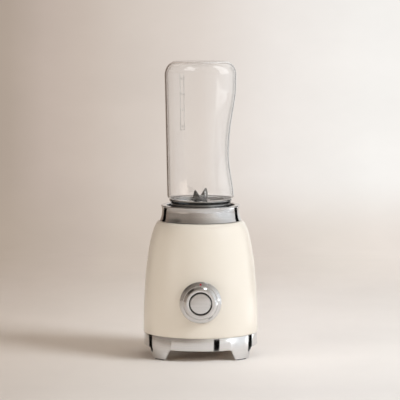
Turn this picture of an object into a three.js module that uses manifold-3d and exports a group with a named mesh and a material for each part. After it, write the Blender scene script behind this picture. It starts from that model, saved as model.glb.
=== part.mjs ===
// Countertop blender: a motor base on four legs that drives the blades in an upturned bottle.
// Millimetres, +Z up, front (the knob) toward -Y, the motor's axis on Z, floor at Z = 0.

import * as THREE from 'three';
import { mergeVertices } from 'three/addons/utils/BufferGeometryUtils.js';
import Module from 'manifold-3d';

const wasm = await Module();
wasm.setup();

// ---------------------------------------------------------------- driving sizes

const gap = 0.3;                  // clearance between neighbouring pieces
const bite = 0.6;                 // how far joined forms of one piece run into each other

// How finely round forms are divided
const bigRound = 32;
const midRound = 20;
const smallRound = 12;
const screwRound = 8;

// Stand: a brushed band with four legs of its own
const bandRadius = 69.2;
const bandWall = 2.6;
const bandHeight = 15;
const legHeight = 12.3;
const legDepth = 14;
const legBearing = 47.5;            // degrees from the front and the back
const legTopSpread = 30;          // degrees
const legFootSpread = 19;         // degrees
const legFillet = 3;
const padLift = 1.2;              // how far the rubber stands out below the leg
const padSeat = 2;                // how deep the rubber sits in the leg
const padMargin = 1.6;
const padOverrun = 1;             // of a cutting form past the pad's sole

// Bottom cover
const plateThickness = 2.4;
const plateRimHeight = 7;
const plateRimWall = 1.4;
const ventCount = 12;
const ventWidth = 3.2;
const ventInner = 11;
const ventOuter = 27;

// Screws that clamp legs, cover and shell together
const screwInset = 9.2;            // from the band's outside to a screw's axis
const screwRadius = 1.7;
const screwHeadRadius = 3.4;
const screwHeadHeight = 2.4;
const screwBite = 14;             // how far the screw runs into its post
const postRadius = 4.1;
const postHeight = 26;
const ribWall = 2.2;
const ribDrop = 2;                // below the post's top

// Shell
const shellOverhang = 0.65;       // beyond the band
const shellHeight = 135.7;
const shellTopRadius = 49.5;
const shellWall = 2.8;

// Concave collar ring on top of the shell
const seamHeight = 0.8;
const ringHeight = 17.2;
const ringWaistRadius = 47.1;
const ringRimRadius = 48.2;
const ringMouthRadius = 41.5;
const ringLip = 1.3;
const ringSkirtWall = 2.3;
const ringHollow = 0.4;           // how far the flank bows in above the seam
const ringRimRound = 0.8;

// Well that takes the bottle
const wellWall = 2.1;
const wellDepth = 26.5;
const wellFloor = 3;
const wellFlange = 2.2;
const spoutRadius = 9;
const spoutWall = 2;
const spoutHeight = 4;

// Bayonet between the blade unit and the well
const lugCount = 3;
const lugSpread = 34;             // degrees
const lugHeight = 4;
const lugRaise = 1;               // above the foot of the skirt
const lugReach = 40.7;            // radius
const ledgeSpread = 58;           // degrees
const ledgeReach = 39.2;          // radius
const ledgeHeight = 3;
const twist = 30;                 // degrees from dropped in to locked

// Interlock: a ring turned by the lugs presses two plungers
const camWall = 4.6;
const camHeight = 4.8;
const fingerSpread = 6;           // degrees
const fingerSlack = 1.5;          // degrees beside a lug
const fingerClear = 1.8;          // outside the collar
const plungerHeadMargin = 1;
const plungerCount = 2;
const plungerRadius = 1.6;
const plungerTravel = 2;
const plungerTail = 5;            // below the well's floor
const plungerHead = 0.9;          // collar below the floor
const switchWidth = 12.8;
const switchDepth = 6;
const switchHeight = 7;
const switchTabWall = 1.8;
const switchPinWall = 0.8;
const switchPinWidth = 2.4;
const switchPinLength = 4;

// Blade unit
const collarRadius = 36.5;
const collarWall = 2.5;
const collarFlange = 38.2;        // radius of the lip under the bottle's shoulder
const flangeThickness = 1.2;
const flangeCurve = 2.6;
const unitHeight = 29.2;          // from the foot of its skirt to the lip
const grooveDepth = 12.9;
const grooveWidth = 4.5;
const floorWall = 2.4;
const floorCrown = 1.4;           // how far the floor rises toward its hub
const hubRadius = 8;
const hubRise = 1.4;
const hubDrop = 3;                // how far the hub's top lies below the lip
const sealHeight = 1.8;
const bushWall = 1.9;
const lipSealHeight = 3;

// Cutter
const bladeShaftRadius = 3;
const shaftTip = 0.4;             // how far the shaft stands out of its nut
const bladeThickness = 1.5;
const bladeWidth = 9;
const wingLength = 13.6;
const wingTip = 2.6;
const wingRoot = 9.2;             // radius where an arm bends
const wingLift = 53;              // degrees, upper blade
const armDrop = 9;                // degrees, lower blade
const armLength = 14;
const upperBladeBearing = 67;     // degrees
const lowerBladeBearing = -23;    // degrees
const spacerHeight = 0.8;
const nutHeight = 2.4;
const nutRadius = 5;

// Dog clutch between motor and blades
const dogCount = 4;
const dogSpread = 24;             // degrees
const dogHeight = 5.2;
const dogInner = 6.5;
const dogTipGap = 0.6;
const couplingRadius = 13;
const couplingHeight = 5;
const dogOffset = -30;            // degrees from a driving dog to the next driven one

// Bottle, standing on its mouth; heights are from the mouth
const bottleWall = 2.2;
const neckRadius = 33.6;
const neckLength = 10.9;
const bottleHeight = 178.7;
const shoulderRadius = 40.7;
const shoulderCurve = 4.6;
const crownRadius = 43.7;         // widest, near the closed end
const crownCurveWide = 14.3;
const crownCurveTall = 17;
const bottleBase = 3.6;           // thickness of the closed end
const gripHeight = 72.6;
const gripRise = 70.5;
const gripFall = 58.5;
const gripInset = 7;
const gripFullness = 1.6;
const gripSpread = 80;            // degrees to each side

// Control knob
const knobHeight = 73;
const saddleStand = 0.75;         // in front of the shell's foot
const saddleMargin = 0.8;
const dialRadius = 25;
const dialEdge = 2;
const dialBevelRadius = 20.8;
const dialBevelRise = 3.6;
const dialStepRadius = 20.4;
const dialStepRise = 3.4;
const dialFaceRadius = 17.5;
const dialFaceRise = 4;
const dialWeb = 1.9;
const dialWall = 1.6;
const dialHubWall = 2.2;
const dialHubLength = 3.2;        // behind the web
const dialEase = 0.5;             // easing of its edges
const lightOuter = 14.1;
const lightInner = 12.4;
const lightDepth = 2;
const buttonTravel = 1.5;
const buttonThickness = 2.3;
const buttonStemRadius = 1.5;
const dotRadius = 1.15;
const dotHeight = 1.2;
const spindleWall = 1.3;
const bushingWall = 2.2;
const bushingNutHeight = 2.2;
const bushingNutRadius = 8.6;
const selectorSize = 28;
const selectorDepth = 15;
const selectorBossRadius = 10;
const selectorSetback = 8;        // behind the shell's inner face
const selectorCorner = 3;
const terminalWall = 1;
const terminalWidth = 4;
const terminalLength = 6;
const terminalPitch = 8;
const spindleReach = 4;           // from the switch's back to the spindle, and on to the stem

// Cord gland at the back
const glandHeight = 44;
const glandHole = 8;
const glandFlange = 10;
const glandFlangeWidth = 2;
const glandTip = 5.6;
const glandBore = 3.6;
const glandGrooves = 2;

// Motor: heights are from the middle of the laminations
const motorDrop = 56;             // below the underside of the well
const stackHeight = 26;
const stackWidth = 60;
const stackDepth = 52;
const stackCorner = 8;
const stackYoke = 6;
const poleWidth = 18;
const poleShoe = 2.7;
const poleArc = 120;              // degrees
const airGap = 0.5;
const armatureRadius = 16.8;
const armatureSlots = 12;
const slotWidth = 3.4;
const slotDepth = 6.6;
const coilThickness = 3.2;
const coilOverhang = 8;
const windingOverhang = 7;
const shaftRadius = 4;
const bearingRadius = 9;
const bearingHeight = 5;
const bearingReach = 28.5;         // from the stack to the far face of a bearing
const bracketThickness = 3;
const bracketHub = 2.6;
const bracketRim = 4;
const bracketWeb = 2;
const bracketBore = 6.5;          // radius
const windowSpread = 44;          // degrees
const pillarRadius = 2.7;
const pillarX = 15;
const commutatorRadius = 10.9;
const commutatorHeight = 11;
const commutatorBars = 12;
const fanRadius = 27;
const fanHeight = 11;
const fanBlades = 8;
const fanWall = 1.5;
const brushSize = 6;
const brushLength = 13;
const holderWall = 1.2;
const holderLength = 17;
const damperCircle = 36;
const damperHeight = 3.4;
const damperRadius = 5.4;
const studEnd = 3;
const bossRadius = 4.5;

// Control board on the bottom cover
const boardWidth = 50;
const boardDepth = 28;
const boardThickness = 1.6;
const boardStandoff = 4;
const boardClear = 1.5;           // behind the fan's edge
const boardPartHeight = 9;
const boardPartWall = 1.6;
const standoffRadius = 2.4;

// ---------------------------------------------------------------- heights and radii that follow

const bandBottom = padLift + legHeight;
const bandTop = bandBottom + bandHeight;
const legTop = bandBottom + bite;
const plateRadius = bandRadius - bandWall - gap;
const plateBottom = legTop + gap;
const plateTop = plateBottom + plateThickness;
const shellFootRadius = bandRadius + shellOverhang;
const shellBottom = bandTop + gap;
const shellTop = shellBottom + shellHeight;
const ringBottom = shellTop + seamHeight;
const ringTop = ringBottom + ringHeight;
const wellRadius = ringMouthRadius - gap / 2;
const wellOuter = wellRadius + wellWall;
const wellFloorTop = ringTop - wellDepth;
const wellFloorBottom = wellFloorTop - wellFloor;
const wellFlangeBottom = shellTop + gap;
const wellFlangeRadius = shellTopRadius - ringSkirtWall - gap;
const camBottom = wellFloorTop + gap;
const camTop = camBottom + camHeight;
const unitBottom = camTop + gap;
const unitTop = unitBottom + unitHeight;
const lugBottom = unitBottom + lugRaise;
const lugTop = lugBottom + lugHeight;
const ledgeBottom = lugTop + 2 * gap;
const grooveFloor = unitTop - grooveDepth;
const bottleMouth = grooveFloor + sealHeight + 2 * gap;
const screwPostBottom = plateTop + gap;
const screwCircle = bandRadius - screwInset;
const saddleFront = shellFootRadius + saddleStand;
const motorHeight = wellFloorBottom - motorDrop;
const couplingBottom = wellFloorTop + spoutHeight + gap;

// ---------------------------------------------------------------- building helpers

const radians = THREE.MathUtils.degToRad;

// A closed solid from a three.js geometry, ready for cutting and joining.
function solid(geometry) {
  const bare = new THREE.BufferGeometry();
  bare.setAttribute('position', geometry.getAttribute('position'));
  bare.setIndex(geometry.index);
  const merged = mergeVertices(bare);
  const corners = merged.index.array;
  const triangles = [];
  for (let i = 0; i < corners.length; i += 3) {
    const [a, b, c] = corners.subarray(i, i + 3);
    if (a !== b && b !== c && c !== a) triangles.push(a, b, c);
  }
  return new wasm.Manifold(new wasm.Mesh({
    numProp: 3,
    vertProperties: new Float32Array(merged.getAttribute('position').array),
    triVerts: new Uint32Array(triangles),
  }));
}

function geometryOf(shape) {
  const { vertProperties, triVerts } = shape.getMesh();
  const geometry = new THREE.BufferGeometry();
  geometry.setAttribute('position', new THREE.BufferAttribute(vertProperties, 3));
  geometry.setIndex(new THREE.BufferAttribute(triVerts, 1));
  geometry.computeVertexNormals();
  return geometry;
}

const join = (first, ...others) => others.reduce((whole, next) => whole.add(next), first);
const cut = (first, ...others) => others.reduce((whole, next) => whole.subtract(next), first);
const overlap = (first, second) => first.intersect(second);

// Turns a profile of [radius, height] points about Z.
function revolved(profile, steps) {
  const points = profile.map(([radius, height]) => new THREE.Vector2(radius, height));
  if (THREE.ShapeUtils.area(points) < 0) points.reverse();
  if (points[0].x > 0 || points.at(-1).x > 0) points.push(points[0].clone());
  return new THREE.LatheGeometry(points, steps).rotateX(Math.PI / 2);
}

const revolve = (profile, steps) => solid(revolved(profile, steps));

const rod = (radius, bottom, top, steps = smallRound) =>
  revolve([[0, bottom], [radius, bottom], [radius, top], [0, top]], steps);

const tube = (inner, outer, bottom, top, steps = smallRound) =>
  revolve([[inner, bottom], [outer, bottom], [outer, top], [inner, top]], steps);

// An upright prism on a drawn outline, whose arcs are divided into twice as many steps as given.
function extruded(shape, bottom, top, steps = 3) {
  const depth = top - bottom;
  const geometry = new THREE.ExtrudeGeometry(shape, { depth, bevelEnabled: false, curveSegments: steps });
  return geometry.translate(0, 0, bottom);
}

const prism = (shape, bottom, top, steps) => solid(extruded(shape, bottom, top, steps));

function box(width, depth, height, x = 0, y = 0, z = 0) {
  return solid(new THREE.BoxGeometry(width, depth, height).translate(x, y, z));
}

function outline(points) {
  return new THREE.Shape(points.map(([x, y]) => new THREE.Vector2(x, y)));
}

function roundedRectangle(width, depth, radius) {
  const x = width / 2 - radius;
  const y = depth / 2 - radius;
  const shape = new THREE.Shape();
  shape.absarc(x, y, radius, 0, Math.PI / 2);
  shape.absarc(-x, y, radius, Math.PI / 2, Math.PI);
  shape.absarc(-x, -y, radius, Math.PI, Math.PI * 1.5);
  shape.absarc(x, -y, radius, Math.PI * 1.5, Math.PI * 2);
  return shape;
}

// The part of a ring that lies within some degrees around a bearing.
function arcShape(inner, outer, bearing, spread) {
  const from = radians(bearing - spread / 2);
  const to = radians(bearing + spread / 2);
  const shape = new THREE.Shape();
  shape.absarc(0, 0, outer, from, to, false);
  shape.absarc(0, 0, inner, to, from, true);
  return shape;
}

const arcBlock = (inner, outer, bearing, spread, bottom, top, steps = 3) =>
  prism(arcShape(inner, outer, bearing, spread), bottom, top, steps);

function polygonShape(radius, sides) {
  const corners = [...Array(sides).keys()].map((i) => {
    const angle = (i / sides) * Math.PI * 2;
    return [radius * Math.cos(angle), radius * Math.sin(angle)];
  });
  return outline(corners);
}

// Bearings of equally spaced copies, in degrees.
const spaced = (count, first = 0) => [...Array(count).keys()].map((i) => first + (i * 360) / count);

const polar = (radius, bearing) => [radius * Math.cos(radians(bearing)), radius * Math.sin(radians(bearing))];

const finishes = {
  cream: [0xe6ddcb, 0.32, 0],
  brushed: [0xc4c0ba, 0.38, 1],
  satin: [0xb9b4ad, 0.3, 1],
  polished: [0xd2d0cc, 0.12, 1],
  steel: [0xb4b6b8, 0.25, 1],
  electrical: [0x77797c, 0.45, 1],
  brass: [0xc9a55a, 0.35, 1],
  copper: [0xb5652d, 0.35, 1],
  carbon: [0x2a2a2c, 0.8, 0],
  black: [0x26241f, 0.45, 0],
  grey: [0x8d8f90, 0.4, 0],
  rubber: [0x1d1d1e, 0.85, 0],
  silicone: [0xb9bcbc, 0.6, 0],
  red: [0xb4062c, 0.4, 0],
  board: [0x1f5a3a, 0.5, 0],
  clear: [0xe8eeee, 0.05, 0],
};

const blender = new THREE.Group();

function place(name, shape, finish, group = blender) {
  const [color, roughness, metalness] = finishes[finish];
  const material = new THREE.MeshStandardMaterial({ color, roughness, metalness });
  if (finish === 'clear') {
    material.transparent = true;
    material.opacity = 0.35;
  }
  const mesh = new THREE.Mesh(geometryOf(shape), material);
  mesh.name = name;
  group.add(mesh);
  return mesh;
}

const subgroup = (parent, height) => {
  const group = new THREE.Group();
  group.position.z = height;
  parent.add(group);
  return group;
};

// ---------------------------------------------------------------- stand

const legBearings = [legBearing - 90, 90 - legBearing, 90 + legBearing, 270 - legBearing];
const legNames = ['front_right', 'rear_right', 'rear_left', 'front_left'];

// Face of a leg, as wide as its spread at the band and at the floor, with filleted inner corners.
function legShape() {
  const topHalf = bandRadius * Math.sin(radians(legTopSpread / 2));
  const footHalf = bandRadius * Math.sin(radians(legFootSpread / 2));
  const slope = Math.hypot(topHalf - footHalf, legHeight);
  const flare = legFillet * ((topHalf - footHalf) / slope);
  const shape = new THREE.Shape();
  shape.moveTo(-footHalf, padLift);
  shape.lineTo(footHalf, padLift);
  const sideX = topHalf - (topHalf - footHalf) * (legFillet / slope);
  const sideZ = bandBottom - legHeight * (legFillet / slope);
  shape.lineTo(sideX, sideZ);
  shape.quadraticCurveTo(topHalf, bandBottom, topHalf + legFillet - flare / 2, bandBottom);
  shape.lineTo(topHalf + legFillet, legTop);
  shape.lineTo(-topHalf - legFillet, legTop);
  shape.lineTo(-topHalf - legFillet + flare / 2, bandBottom);
  shape.quadraticCurveTo(-topHalf, bandBottom, -sideX, sideZ);
  return shape;
}

// A shape drawn on the tangent plane, driven inward to the axis along a bearing.
function radialPrism(shape, bearing) {
  const geometry = extruded(shape, 0, bandRadius * 1.2, 5);
  geometry.rotateX(Math.PI / 2).rotateZ(radians(bearing + 90));
  return solid(geometry);
}

function padOutline(margin) {
  const half = bandRadius * Math.sin(radians(legFootSpread / 2)) - margin;
  return outline([[-half, -padOverrun], [half, -padOverrun], [half, padLift + padSeat + margin], [-half, padLift + padSeat + margin]]);
}

// Pad or its pocket: an arc of rubber inside the leg's walls.
function padBlock(bearing, clearance, top) {
  const margin = padMargin - clearance;
  const ring = tube(bandRadius - legDepth + margin, bandRadius - margin, -clearance, top, bigRound);
  return overlap(ring, radialPrism(padOutline(margin), bearing));
}

const screwPlaces = legBearings.map((bearing) => polar(screwCircle, bearing));
const padTop = padLift + padSeat - gap;
const screwHeadTop = padLift + padSeat + screwHeadHeight + gap;

function standBand() {
  const wall = tube(bandRadius - bandWall, bandRadius, bandBottom, bandTop, bigRound);
  const legRing = tube(bandRadius - legDepth, bandRadius, 0, legTop, bigRound);
  const legs = legBearings.map((bearing) => overlap(legRing, radialPrism(legShape(), bearing)));
  const pockets = legBearings.map((bearing) => padBlock(bearing, gap, padTop + gap));
  const holes = screwPlaces.flatMap(([x, y]) => [
    rod(screwRadius + gap, padLift, bandTop, screwRound).translate([x, y, 0]),
    rod(screwHeadRadius + gap, padLift, screwHeadTop, screwRound).translate([x, y, 0]),
  ]);
  return cut(join(wall, ...legs), ...pockets, ...holes);
}

function screw(headTop, tip) {
  const head = rod(screwHeadRadius, headTop - screwHeadHeight, headTop, screwRound);
  const shank = rod(screwRadius, headTop - bite, tip, screwRound);
  return join(head, shank);
}

place('base_band', standBand(), 'brushed');
legBearings.forEach((bearing, i) => {
  place(`foot_pad_${legNames[i]}`, padBlock(bearing, 0, padTop), 'rubber');
  const fixing = place(`base_screw_${legNames[i]}`, screw(screwHeadTop - gap, plateTop + screwBite), 'steel');
  fixing.position.set(...screwPlaces[i], 0);
});

// ---------------------------------------------------------------- bottom cover and control board

const boardBottom = plateTop + boardStandoff + gap;
const boardMiddle = fanRadius + boardClear + boardDepth / 2;
const standoffPlaces = [-1, 1].flatMap((x) => [-1, 1].map((y) => [
  x * (boardWidth / 2 - 2 * standoffRadius),
  boardMiddle + y * (boardDepth / 2 - 1.5 * standoffRadius),
]));

function bottomCover() {
  const rimTop = plateTop + plateRimHeight;
  const dish = revolve([
    [0, plateBottom], [plateRadius, plateBottom], [plateRadius, rimTop],
    [plateRadius - plateRimWall, rimTop], [plateRadius - plateRimWall, plateTop], [0, plateTop],
  ], bigRound);
  const vents = spaced(ventCount, 180 / ventCount).map((bearing) => {
    const slot = new THREE.BoxGeometry(ventOuter - ventInner, ventWidth, plateThickness * 3);
    return solid(slot.translate((ventInner + ventOuter) / 2, 0, plateTop).rotateZ(radians(bearing)));
  });
  const holes = screwPlaces.map(([x, y]) =>
    rod(screwRadius + gap, plateBottom - 1, rimTop, screwRound).translate([x, y, 0]));
  const standoffs = standoffPlaces.map(([x, y]) =>
    rod(standoffRadius, plateTop - bite, boardBottom - gap, screwRound).translate([x, y, 0]));
  return join(cut(dish, ...vents, ...holes), ...standoffs);
}

// Printed board with its parts: filter capacitor, relay, triac on a small heat sink, terminal block.
function controlBoard() {
  const top = boardBottom + boardThickness;
  const board = box(boardWidth, boardDepth, boardThickness, 0, boardMiddle, boardBottom + boardThickness / 2);
  const part = (width, depth, height, x, y) =>
    box(width, depth, height + bite, x, boardMiddle + y, top + (height - bite) / 2);
  const across = boardWidth / 4;
  const along = boardDepth / 4;
  return join(
    board,
    part(across * 1.4, along, boardPartHeight, -across, along),
    part(across, along * 1.2, boardPartHeight, across * 0.4, along),
    part(across * 0.8, boardPartWall, boardPartHeight, across * 1.4, -along * 0.2),
    part(across * 1.3, along * 1.2, boardPartHeight * 0.8, -across, -along * 0.9),
    rod(along * 0.6, top - bite, top + boardPartHeight, screwRound).translate([across * 0.7, boardMiddle - along, 0]),
  );
}

place('base_plate', bottomCover(), 'black');
place('control_board', controlBoard(), 'board');

// ---------------------------------------------------------------- shell

const shellSpan = shellFootRadius - shellTopRadius;

// A point of the shell's quarter ellipse, set inward along its normal.
function shellPoint(turn, inset) {
  const across = Math.cos(turn);
  const up = Math.sin(turn);
  const length = Math.hypot(shellHeight * across, shellSpan * up);
  return [
    shellTopRadius + shellSpan * across - (inset * shellHeight * across) / length,
    shellBottom + shellHeight * up - (inset * shellSpan * up) / length,
  ];
}

function shellArc(steps, inset, lastTurn = Math.PI / 2) {
  return [...Array(steps + 1).keys()].map((i) => shellPoint((i / steps) * lastTurn, inset));
}

// Everything inside the shell's outer face, grown outward by a clearance.
function shellFilled(clearance) {
  const skin = shellArc(9, -clearance);
  return revolve([[0, shellBottom], ...skin, [0, shellTop + clearance]], bigRound);
}

const alongFront = (geometry) => geometry.rotateX(Math.PI / 2).translate(0, 0, knobHeight);
const frontTube = (inner, outer, back, front, steps) => {
  const profile = [[inner, back], [outer, back], [outer, front], [inner, front]];
  return solid(alongFront(revolved(profile, steps)));
};

const spindleRadius = buttonStemRadius + gap + spindleWall;
const bushingRadius = spindleRadius + gap + bushingWall;
const selectorFront = shellPoint(0, 0)[0] - shellWall - selectorSetback;

function shellBody() {
  const mouth = wellOuter + gap;
  const skin = revolve([
    ...shellArc(9, 0),
    [mouth, shellTop],
    [mouth, shellTop - shellWall],
    ...shellArc(5, shellWall, radians(82)).reverse(),
  ], bigRound);
  const posts = screwPlaces.flatMap(([x, y], i) => {
    const post = rod(postRadius, screwPostBottom, screwPostBottom + postHeight, screwRound).translate([x, y, 0]);
    const ribLength = shellFootRadius - shellWall / 2 - screwCircle;
    const ribBottom = shellBottom + bite;
    const ribTop = screwPostBottom + postHeight - ribDrop;
    const rib = new THREE.BoxGeometry(ribLength, ribWall, ribTop - ribBottom);
    rib.translate(screwCircle + ribLength / 2, 0, (ribTop + ribBottom) / 2).rotateZ(radians(legBearings[i]));
    return [post, solid(rib)];
  });
  const pilots = screwPlaces.map(([x, y]) =>
    rod(screwRadius + gap, screwPostBottom - 1, plateTop + screwBite + 1, screwRound).translate([x, y, 0]));
  const boss = frontTube(0, selectorBossRadius, selectorFront + gap, shellFootRadius - shellWall, smallRound);
  const bushingHole = frontTube(0, bushingRadius + gap, 0, shellFootRadius + 2, smallRound);
  const glandOpening = solid(revolved(
    [[0, 0], [glandHole, 0], [glandHole, shellFootRadius + 2], [0, shellFootRadius + 2]], smallRound,
  ).rotateX(-Math.PI / 2).translate(0, 0, glandHeight));
  return cut(join(skin, ...posts, boss), ...pilots, bushingHole, glandOpening);
}

place('body_shell', shellBody(), 'cream');

// ---------------------------------------------------------------- collar ring

function collarRing() {
  const inner = wellOuter + gap;
  const skirtInner = shellTopRadius - ringSkirtWall;
  const rebateTop = wellFlangeBottom + wellFlange + gap;
  const waist = ringBottom + ringHeight * 0.55;
  const flank = new THREE.CatmullRomCurve3([
    new THREE.Vector3(shellTopRadius, ringBottom, 0),
    new THREE.Vector3((shellTopRadius + ringWaistRadius) / 2 - ringHollow, ringBottom + ringHeight * 0.26, 0),
    new THREE.Vector3(ringWaistRadius, waist, 0),
    new THREE.Vector3(ringRimRadius, ringTop - ringLip, 0),
  ]).getPoints(6).map((point) => [point.x, point.y]);
  return revolve([
    ...flank,
    [ringRimRadius - ringRimRound / 8, ringTop - ringLip / 2],
    [ringRimRadius - ringRimRound, ringTop],
    [ringMouthRadius + ringRimRound, ringTop],
    [ringMouthRadius, ringTop - ringLip / 2],
    [ringMouthRadius, ringTop - ringLip],
    [inner, ringTop - ringLip],
    [inner, rebateTop],
    [skirtInner, rebateTop],
    [skirtInner, ringBottom],
  ], bigRound);
}

place('top_ring', collarRing(), 'satin');

// ---------------------------------------------------------------- well, interlock and switches

const lugBearings = spaced(lugCount, -90);
const plungerBearings = spaced(plungerCount, 0);
const camInner = wellRadius - gap - camWall;
const camOuter = wellRadius - gap;
const plungerCircle = (camInner + camOuter) / 2;
const damperPlaces = spaced(4, 45).map((bearing) => polar(damperCircle, bearing));
const upperBracketTop = motorHeight + stackHeight / 2 + bearingReach - bearingHeight;
const bossBottom = upperBracketTop + damperHeight + 2 * gap;
const switchTop = wellFloorBottom - plungerTail - plungerTravel - gap;
const switchBack = plungerCircle - switchDepth / 2;

function bottleSeat() {
  const cup = revolve([
    [spoutRadius, wellFloorBottom],
    [wellOuter, wellFloorBottom],
    [wellOuter, wellFlangeBottom],
    [wellFlangeRadius, wellFlangeBottom],
    [wellFlangeRadius, wellFlangeBottom + wellFlange],
    [wellOuter, wellFlangeBottom + wellFlange],
    [wellOuter, ringTop - ringLip - gap],
    [wellRadius, ringTop - ringLip - gap],
    [wellRadius, wellFloorTop],
    [spoutRadius + spoutWall, wellFloorTop],
    [spoutRadius + spoutWall, wellFloorTop + spoutHeight],
    [spoutRadius, wellFloorTop + spoutHeight],
  ], bigRound);
  const ledges = spaced(lugCount, 90).map((bearing) =>
    arcBlock(ledgeReach, wellRadius + bite, bearing, ledgeSpread, ledgeBottom, ledgeBottom + ledgeHeight, 4));
  const bosses = damperPlaces.map(([x, y]) =>
    rod(bossRadius, bossBottom, wellFloorBottom + bite, screwRound).translate([x, y, 0]));
  const pilots = damperPlaces.map(([x, y]) =>
    rod(screwRadius + gap, bossBottom - 1, bossBottom + screwBite, screwRound).translate([x, y, 0]));
  const guides = plungerBearings.map((bearing) =>
    rod(plungerRadius + gap, wellFloorBottom - 1, wellFloorTop + 1, screwRound)
      .translate([...polar(plungerCircle, bearing), 0]));
  const tabHeight = wellFloorBottom - switchTop + switchHeight;
  const tabs = plungerBearings.map((bearing) => {
    const tab = new THREE.BoxGeometry(switchTabWall, switchWidth, tabHeight + bite);
    const middle = switchBack - gap - switchTabWall / 2;
    tab.translate(middle, 0, wellFloorBottom - (tabHeight - bite) / 2).rotateZ(radians(bearing));
    return solid(tab);
  });
  return cut(join(cup, ...ledges, ...bosses, ...tabs), ...pilots, ...guides);
}

// A ring with pairs of fingers that hold the lugs, and ramps below that press the plungers down.
function interlockRing() {
  const ring = tube(camInner, camOuter, camBottom, camTop, bigRound);
  const fingerInner = collarRadius + fingerClear;
  const fingers = lugBearings.flatMap((bearing) => [-1, 1].map((side) => {
    const middle = bearing + side * (lugSpread / 2 + fingerSlack + fingerSpread / 2);
    return arcBlock(fingerInner, camOuter, middle, fingerSpread, camTop - bite, lugTop, 1);
  }));
  const run = plungerCircle * radians(twist);
  const slack = plungerRadius + gap;
  const rise = plungerTravel + 2 * gap;
  const ramp = outline([
    [-slack * 1.5, -1], [run + slack * 1.5, -1],
    [run + slack * 1.5, gap / 2], [run, gap],
    [slack, rise], [-slack * 1.5, rise],
  ]);
  const ramps = plungerBearings.map((bearing) => {
    const cutter = extruded(ramp, -camWall * 2, camWall * 2, 1).rotateX(Math.PI / 2);
    cutter.rotateZ(radians(90)).translate(plungerCircle, 0, camBottom).rotateZ(radians(bearing));
    return solid(cutter);
  });
  return cut(join(ring, ...fingers), ...ramps);
}

function plunger() {
  const pin = rod(plungerRadius, wellFloorBottom - plungerTail, camBottom + plungerTravel, screwRound);
  const collar = rod(plungerRadius + plungerHeadMargin, wellFloorBottom - gap - plungerHead, wellFloorBottom - gap, screwRound);
  return join(pin, collar);
}

function microSwitch() {
  const body = box(switchDepth, switchWidth, switchHeight, 0, 0, switchTop - switchHeight / 2);
  const legs = [-1, 0, 1].map((side) =>
    box(switchPinWall, switchPinWidth, switchPinLength, 0, side * switchWidth * 0.36,
      switchTop - switchHeight - switchPinLength / 2 + bite));
  return join(body, ...legs);
}

place('bottle_seat', bottleSeat(), 'black');
place('interlock_ring', interlockRing(), 'grey');
plungerBearings.forEach((bearing, i) => {
  const [x, y] = polar(plungerCircle, bearing);
  place(`interlock_plunger_${i + 1}`, plunger(), 'grey').position.set(x, y, 0);
  const contact = place(`micro_switch_${i + 1}`, microSwitch(), 'black');
  contact.position.set(x, y, 0);
  contact.rotation.z = radians(bearing);
});

// ---------------------------------------------------------------- motor

const motor = subgroup(blender, motorHeight);
const stackHalf = stackHeight / 2;
const boreRadius = armatureRadius + airGap;
const shaftBore = shaftRadius + gap;
const pillarY = stackDepth / 2 - stackYoke / 2;
const bearingTop = stackHalf + bearingReach;
const brushHeight = -stackHalf - windingOverhang - gap - commutatorHeight / 2 - 1;

// Laminations: a yoke with two poles that reach in to the bore.
function statorStack() {
  const halves = [-stackHalf, stackHalf];
  const yoke = prism(roundedRectangle(stackWidth, stackDepth, stackCorner), ...halves, 2);
  const frameOnly = cut(yoke, box(stackWidth - 2 * stackYoke, stackDepth - 2 * stackYoke, stackHeight * 1.1));
  const shoes = [0, 180].map((bearing) =>
    arcBlock(boreRadius, boreRadius + poleShoe, bearing, poleArc, ...halves, 5));
  const neckReach = stackWidth / 2 - stackYoke + bite - boreRadius - poleShoe / 2;
  const necks = [-1, 1].map((side) =>
    box(neckReach, poleWidth, stackHeight, side * (boreRadius + poleShoe / 2 + neckReach / 2), 0, 0));
  return join(frameOnly, ...shoes, ...necks);
}

// One field coil: a flat racetrack wound round a pole's neck.
function fieldCoil(side) {
  const innerWidth = poleWidth + 2 * gap;
  const innerHeight = stackHeight + 2 * gap;
  const outer = roundedRectangle(stackDepth - 2 * stackYoke - 2 * gap, innerHeight + 2 * coilOverhang, 5);
  const geometry = extruded(outer, -coilThickness / 2, coilThickness / 2, 2);
  const middle = stackWidth / 2 - stackYoke - gap - coilThickness / 2;
  const wound = solid(geometry.rotateX(Math.PI / 2).rotateZ(Math.PI / 2).translate(side * middle, 0, 0));
  return cut(wound, box(coilThickness * 3, innerWidth, innerHeight, side * middle, 0, 0));
}

function armatureCore() {
  const core = tube(shaftBore, armatureRadius, -stackHalf, stackHalf, midRound);
  const slots = spaced(armatureSlots).map((bearing) => {
    const slot = new THREE.BoxGeometry(slotDepth * 2, slotWidth, stackHeight * 1.1);
    return solid(slot.translate(armatureRadius, 0, 0).rotateZ(radians(bearing)));
  });
  return cut(core, ...slots);
}

// Windings: a bar in each slot, joined by the bulging end turns.
function armatureWinding() {
  const barInner = armatureRadius - slotDepth + gap;
  const barOuter = armatureRadius - 1;
  const inner = shaftRadius + 3;
  const end = (side) => {
    const near = side * (stackHalf + gap);
    const far = side * (stackHalf + windingOverhang);
    const profile = [
      [inner, near], [barOuter, near], [barOuter, near + (far - near) * 0.6],
      [barOuter - 2.4, far], [inner, far],
    ];
    return revolve(profile, armatureSlots);
  };
  const bars = spaced(armatureSlots).map((bearing) => {
    const bar = new THREE.BoxGeometry(barOuter - barInner, slotWidth - 2 * gap, stackHeight + 2 * gap + 2 * bite);
    return solid(bar.translate((barInner + barOuter) / 2, 0, 0).rotateZ(radians(bearing)));
  });
  return join(end(1), end(-1), ...bars);
}

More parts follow.
